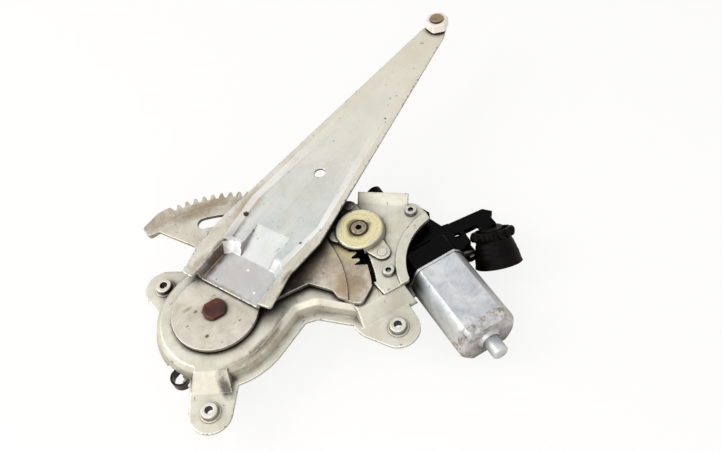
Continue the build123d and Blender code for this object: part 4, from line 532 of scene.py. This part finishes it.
# Natural acetal: off-white and smooth.
acetal, tree, shader, place = start("natural_acetal")
cloud = add(tree, "TexNoise", {"Vector": place, "Scale": 1 / (10 * MM), "Detail": 3.0})
tone = add(tree, "ValToRGB", {"Fac": cloud.outputs["Fac"]},
           [(0.3, linear("#EDEAE0")), (0.7, linear("#DDD8CA"))])
tree.links.new(tone.outputs["Color"], shader.inputs["Base Color"])
shader.inputs["Roughness"].default_value = 0.35
dress(acetal, "worm_wheel")

# Phenolic board: brown, mottled by its paper layers.
board, tree, shader, place = start("phenolic_board")
layers = add(tree, "TexNoise", {"Vector": place, "Scale": 1 / (3 * MM), "Detail": 4.0})
tone = add(tree, "ValToRGB", {"Fac": layers.outputs["Fac"]},
           [(0.3, linear("#4A2E18")), (0.7, linear("#6A4628"))])
tree.links.new(tone.outputs["Color"], shader.inputs["Base Color"])
shader.inputs["Roughness"].default_value = 0.5
dress(board, "brush_holder")

# ---- connector boot -----------------------------------------------------------------------------
# A boot of soft black rubber covers the motor's socket: a collar with a row of round lugs at its top, a
# shallow fold, and a bell that widens to a thick rolled lip. It is moulded, and matt with a faint bloom.
BOOT_TOP = Vector((0.240875, 0.016, 0.002))        # m
BOOT_END = Vector((0.2346, -0.0022, -0.0174))      # m
BOOT_RADII = (14.0, 15.2, 13.6, 14.8, 15.8, 16.8, 17.2, 18.0)      # mm, along its axis
BOOT_WALL = 1.8             # mm
BOOT_STEPS = 4              # points that round each change of radius
BOOT_SIDES = 72
LIP_ROUND = (0.6, 0.7)      # mm along the axis and in radius, taken off the lip's rim
INSIDE_BACK = 0.1           # mm, how far the inside lies nearer the top
LUGS = 14                   # round lugs about the collar
LUG_SIZE = (2.6, 2.3, 3.4)  # mm, half sizes: outwards, round the collar and along it
LUG_AT = 3.4                # mm from the top
LUG_SUNK = 0.6              # mm, how far their middles lie inside the collar


def boot_outline():
    """Places along the axis and radii in mm, up the outside and back down the inside."""
    length = (BOOT_END - BOOT_TOP).length / MM
    step = length / (len(BOOT_RADII) - 1)
    outside = []
    for i, radius in enumerate(BOOT_RADII[:-1]):
        for part in range(BOOT_STEPS):
            blend = (1 - cos(pi * part / BOOT_STEPS)) / 2
            outside.append(((i + part / BOOT_STEPS) * step, radius + (BOOT_RADII[i + 1] - radius) * blend))
    outside.append((length - LIP_ROUND[0], BOOT_RADII[-1]))
    outside.append((length, BOOT_RADII[-1] - LIP_ROUND[1]))
    inside = [(along - INSIDE_BACK, radius - BOOT_WALL) for along, radius in reversed(outside[1:-2])]
    return outside + inside + [(0.0, BOOT_RADII[0] - BOOT_WALL)]


axis = (BOOT_END - BOOT_TOP).normalized()
side = axis.cross(Vector((0, 0, 1))).normalized()
up = side.cross(axis).normalized()
mesh = bmesh.new()
loops = []
for along, radius in boot_outline():
    loop = []
    for k in range(BOOT_SIDES):
        angle = 2 * pi * k / BOOT_SIDES
        outwards = side * cos(angle) + up * sin(angle)
        loop.append(mesh.verts.new(BOOT_TOP + (axis * along + outwards * radius) * MM))
    loops.append(loop)
for first, second in zip(loops, loops[1:] + loops[:1]):
    for k in range(BOOT_SIDES):
        mesh.faces.new((first[k], first[(k + 1) % BOOT_SIDES], second[(k + 1) % BOOT_SIDES], second[k]))
bmesh.ops.recalc_face_normals(mesh, faces=mesh.faces)
shape = bpy.data.meshes.new("rubber_bellows")
mesh.to_mesh(shape)
mesh.free()
for face in shape.polygons:
    face.use_smooth = True
boot = bpy.data.objects.new("rubber_bellows", shape)
scene.collection.objects.link(boot)

# Moulded rubber: black and matt, with a fine grain and a faint brown bloom.
boot_rubber, tree, shader, place = start("moulded_black_rubber")
bloom = add(tree, "TexNoise", {"Vector": place, "Scale": 1 / (9 * MM), "Detail": 6.0, "Roughness": 0.65})
tone = add(tree, "ValToRGB", {"Fac": bloom.outputs["Fac"]},
           [(0.45, linear("#040202")), (0.88, linear("#120B09"))])
tree.links.new(tone.outputs["Color"], shader.inputs["Base Color"])
grain = add(tree, "TexNoise", {"Vector": place, "Scale": 1 / (0.8 * MM), "Detail": 2.0})
relief = add(tree, "Bump", {"Height": grain.outputs["Fac"], "Distance": 0.06 * MM, "Strength": 0.4})
tree.links.new(relief.outputs["Normal"], shader.inputs["Normal"])
shader.inputs["Roughness"].default_value = 0.48
shader.inputs["Specular IOR Level"].default_value = 0.07
shape.materials.append(boot_rubber)
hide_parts("connector_boot")
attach(boot, "base")

# the lugs: rounded blobs set about a circle, each turned to face outwards
lug_tree = bpy.data.node_groups.new("boot_lugs", "GeometryNodeTree")
for label, kind in (("Count", "NodeSocketInt"), ("Collar Radius", "NodeSocketFloat"),
                    ("Half Sizes", "NodeSocketVector"), ("Middle", "NodeSocketVector"),
                    ("Turn", "NodeSocketRotation")):
    lug_tree.interface.new_socket(label, in_out="INPUT", socket_type=kind)
lug_tree.interface.new_socket("Geometry", in_out="OUTPUT", socket_type="NodeSocketGeometry")
given = add(lug_tree, "NodeGroupInput").outputs
circle = add(lug_tree, "GeometryNodeMeshCircle", {"Vertices": given["Count"],
                                                  "Radius": given["Collar Radius"]})
blob = add(lug_tree, "GeometryNodeMeshUVSphere", {"Segments": 12, "Rings": 8, "Radius": 1.0})
sized = add(lug_tree, "GeometryNodeTransform", {"Geometry": blob.outputs["Mesh"],
                                                "Scale": given["Half Sizes"]})
where = add(lug_tree, "GeometryNodeInputPosition")
facing = add(lug_tree, "FunctionNodeAlignRotationToVector", {"Vector": where.outputs["Position"]}, axis="X")
ring = add(lug_tree, "GeometryNodeInstanceOnPoints", {"Points": circle.outputs["Mesh"],
                                                     "Instance": sized.outputs["Geometry"],
                                                     "Rotation": facing.outputs["Rotation"]})
placed = add(lug_tree, "GeometryNodeTransform", {"Geometry": ring.outputs["Instances"],
                                                "Translation": given["Middle"], "Rotation": given["Turn"]})
real = add(lug_tree, "GeometryNodeRealizeInstances", {"Geometry": placed.outputs["Geometry"]})
coated = add(lug_tree, "GeometryNodeSetMaterial", {"Geometry": real.outputs["Geometry"],
                                                  "Material": boot_rubber})
add(lug_tree, "NodeGroupOutput", {"Geometry": coated.outputs["Geometry"]})

maker = bpy.data.objects.new("lug_maker", bpy.data.meshes.new("lug_maker"))
scene.collection.objects.link(maker)
modifier = maker.modifiers.new("lugs", "NODES")
modifier.node_group = lug_tree
values = {"Count": LUGS, "Collar Radius": (BOOT_RADII[1] - LUG_SUNK) * MM,
          "Half Sizes": [size * MM for size in LUG_SIZE],
          "Middle": list(BOOT_TOP + axis * LUG_AT * MM),
          "Turn": list(axis.to_track_quat("Z", "Y").to_euler())}
for item in lug_tree.interface.items_tree:
    if item.in_out == "INPUT":
        modifier[item.identifier] = values[item.name]
bpy.context.view_layer.update()
made = bpy.data.meshes.new_from_object(maker.evaluated_get(bpy.context.evaluated_depsgraph_get()))
maker.modifiers.remove(modifier)
bpy.data.objects.remove(maker)
for face in made.polygons:
    face.use_smooth = True
lugs = bpy.data.objects.new("boot_lugs", made)
scene.collection.objects.link(lugs)
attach(lugs, "base")
dress(boot_rubber, "connector_boot", "cover_gasket", "damper_cushions")

# ---- floor, light and camera --------------------------------------------------------------------
# The part lies on a white table in a white room. Two broad lamps stand on its left, one behind it and one
# in front of it, so shadows fall to the right and stay soft.
FLOOR_GAP = 0.6             # mm below the lowest solid
LOW = cad_box[0][2] - FLOOR_GAP * MM
HALF = 4                    # m, half the table's width
CAMERA_GLOW = 0.86          # how much of the table's white is its own light, to the camera alone
ROOM_LIGHT = 0.50           # the room's strength as light; what the camera and mirrors see of it is 1
floor_mesh = bpy.data.meshes.new("table")
floor_mesh.from_pydata([(-HALF, -HALF, LOW), (HALF, -HALF, LOW), (HALF, HALF, LOW), (-HALF, HALF, LOW)],
                       [], [(0, 1, 2, 3)])
table = bpy.data.objects.new("table", floor_mesh)
scene.collection.objects.link(table)
# White card, cream in its shade and nearly pure white to the camera.
table_white, tree, shader = start("white_table")[:3]
tree.nodes.remove(shader)
seen = add(tree, "LightPath").outputs["Is Camera Ray"]
cloth = add(tree, "BsdfDiffuse", {"Color": linear("#FFFAF0")})
glow = add(tree, "Emission", {"Color": linear("#FFFFFF"), "Strength": 1.0})
lift = add(tree, "Math", {0: seen, 1: CAMERA_GLOW}, operation="MULTIPLY")
both = add(tree, "MixShader", {0: lift.outputs[0], 1: cloth.outputs[0], 2: glow.outputs[0]})
tree.links.new(both.outputs[0], tree.nodes["Material Output"].inputs["Surface"])
floor_mesh.materials.append(table_white)

MIDDLE = Vector((0.14, 0.08, 0.0))                # m, what the lamps face
LAMPS = (("soft_box", (-0.92, 0.50, 0.86), 0.8, 8.6),     # m from the middle, side in m, watts
         ("fill", (-0.55, -0.88, 0.75), 1.2, 7.8))
for name, offset, size, watts in LAMPS:
    lamp = bpy.data.lights.new(name, "AREA")
    lamp.shape = "SQUARE"
    lamp.size = size
    lamp.energy = watts
    holder = bpy.data.objects.new(name, lamp)
    holder.location = MIDDLE + Vector(offset)
    holder.rotation_euler = Vector(offset).to_track_quat("Z", "Y").to_euler()
    scene.collection.objects.link(holder)

sky = bpy.data.worlds.new("studio")
sky.use_nodes = True
scene.world = sky
tree = sky.node_tree
path = add(tree, "LightPath")
plain = add(tree, "Math", {0: path.outputs["Is Camera Ray"], 1: path.outputs["Is Glossy Ray"]},
            operation="MAXIMUM")
clear = add(tree, "Math", {0: plain.outputs[0], 1: path.outputs["Is Transmission Ray"]}, operation="MAXIMUM")
level = add(tree, "MapRange", {"Value": clear.outputs[0], "To Min": ROOM_LIGHT, "To Max": 1.0})
tree.links.new(level.outputs["Result"], tree.nodes["Background"].inputs["Strength"])
tree.nodes["Background"].inputs["Color"].default_value = (1, 1, 1, 1)

FOCAL = 42.38               # mm, on a sensor 36 mm wide
CAMERA_AT = (0.033352, -0.300901, 0.518818)        # m
CAMERA_TURN = (36.9279, 8.2884, -29.7464)          # degrees
lens = bpy.data.cameras.new("camera")
lens.lens = FOCAL
lens.sensor_width = 36.0
camera = bpy.data.objects.new("camera", lens)
camera.location = CAMERA_AT
camera.rotation_euler = Euler([radians(angle) for angle in CAMERA_TURN], "XYZ")
scene.collection.objects.link(camera)
scene.camera = camera
scene.view_settings.view_transform = "Standard"
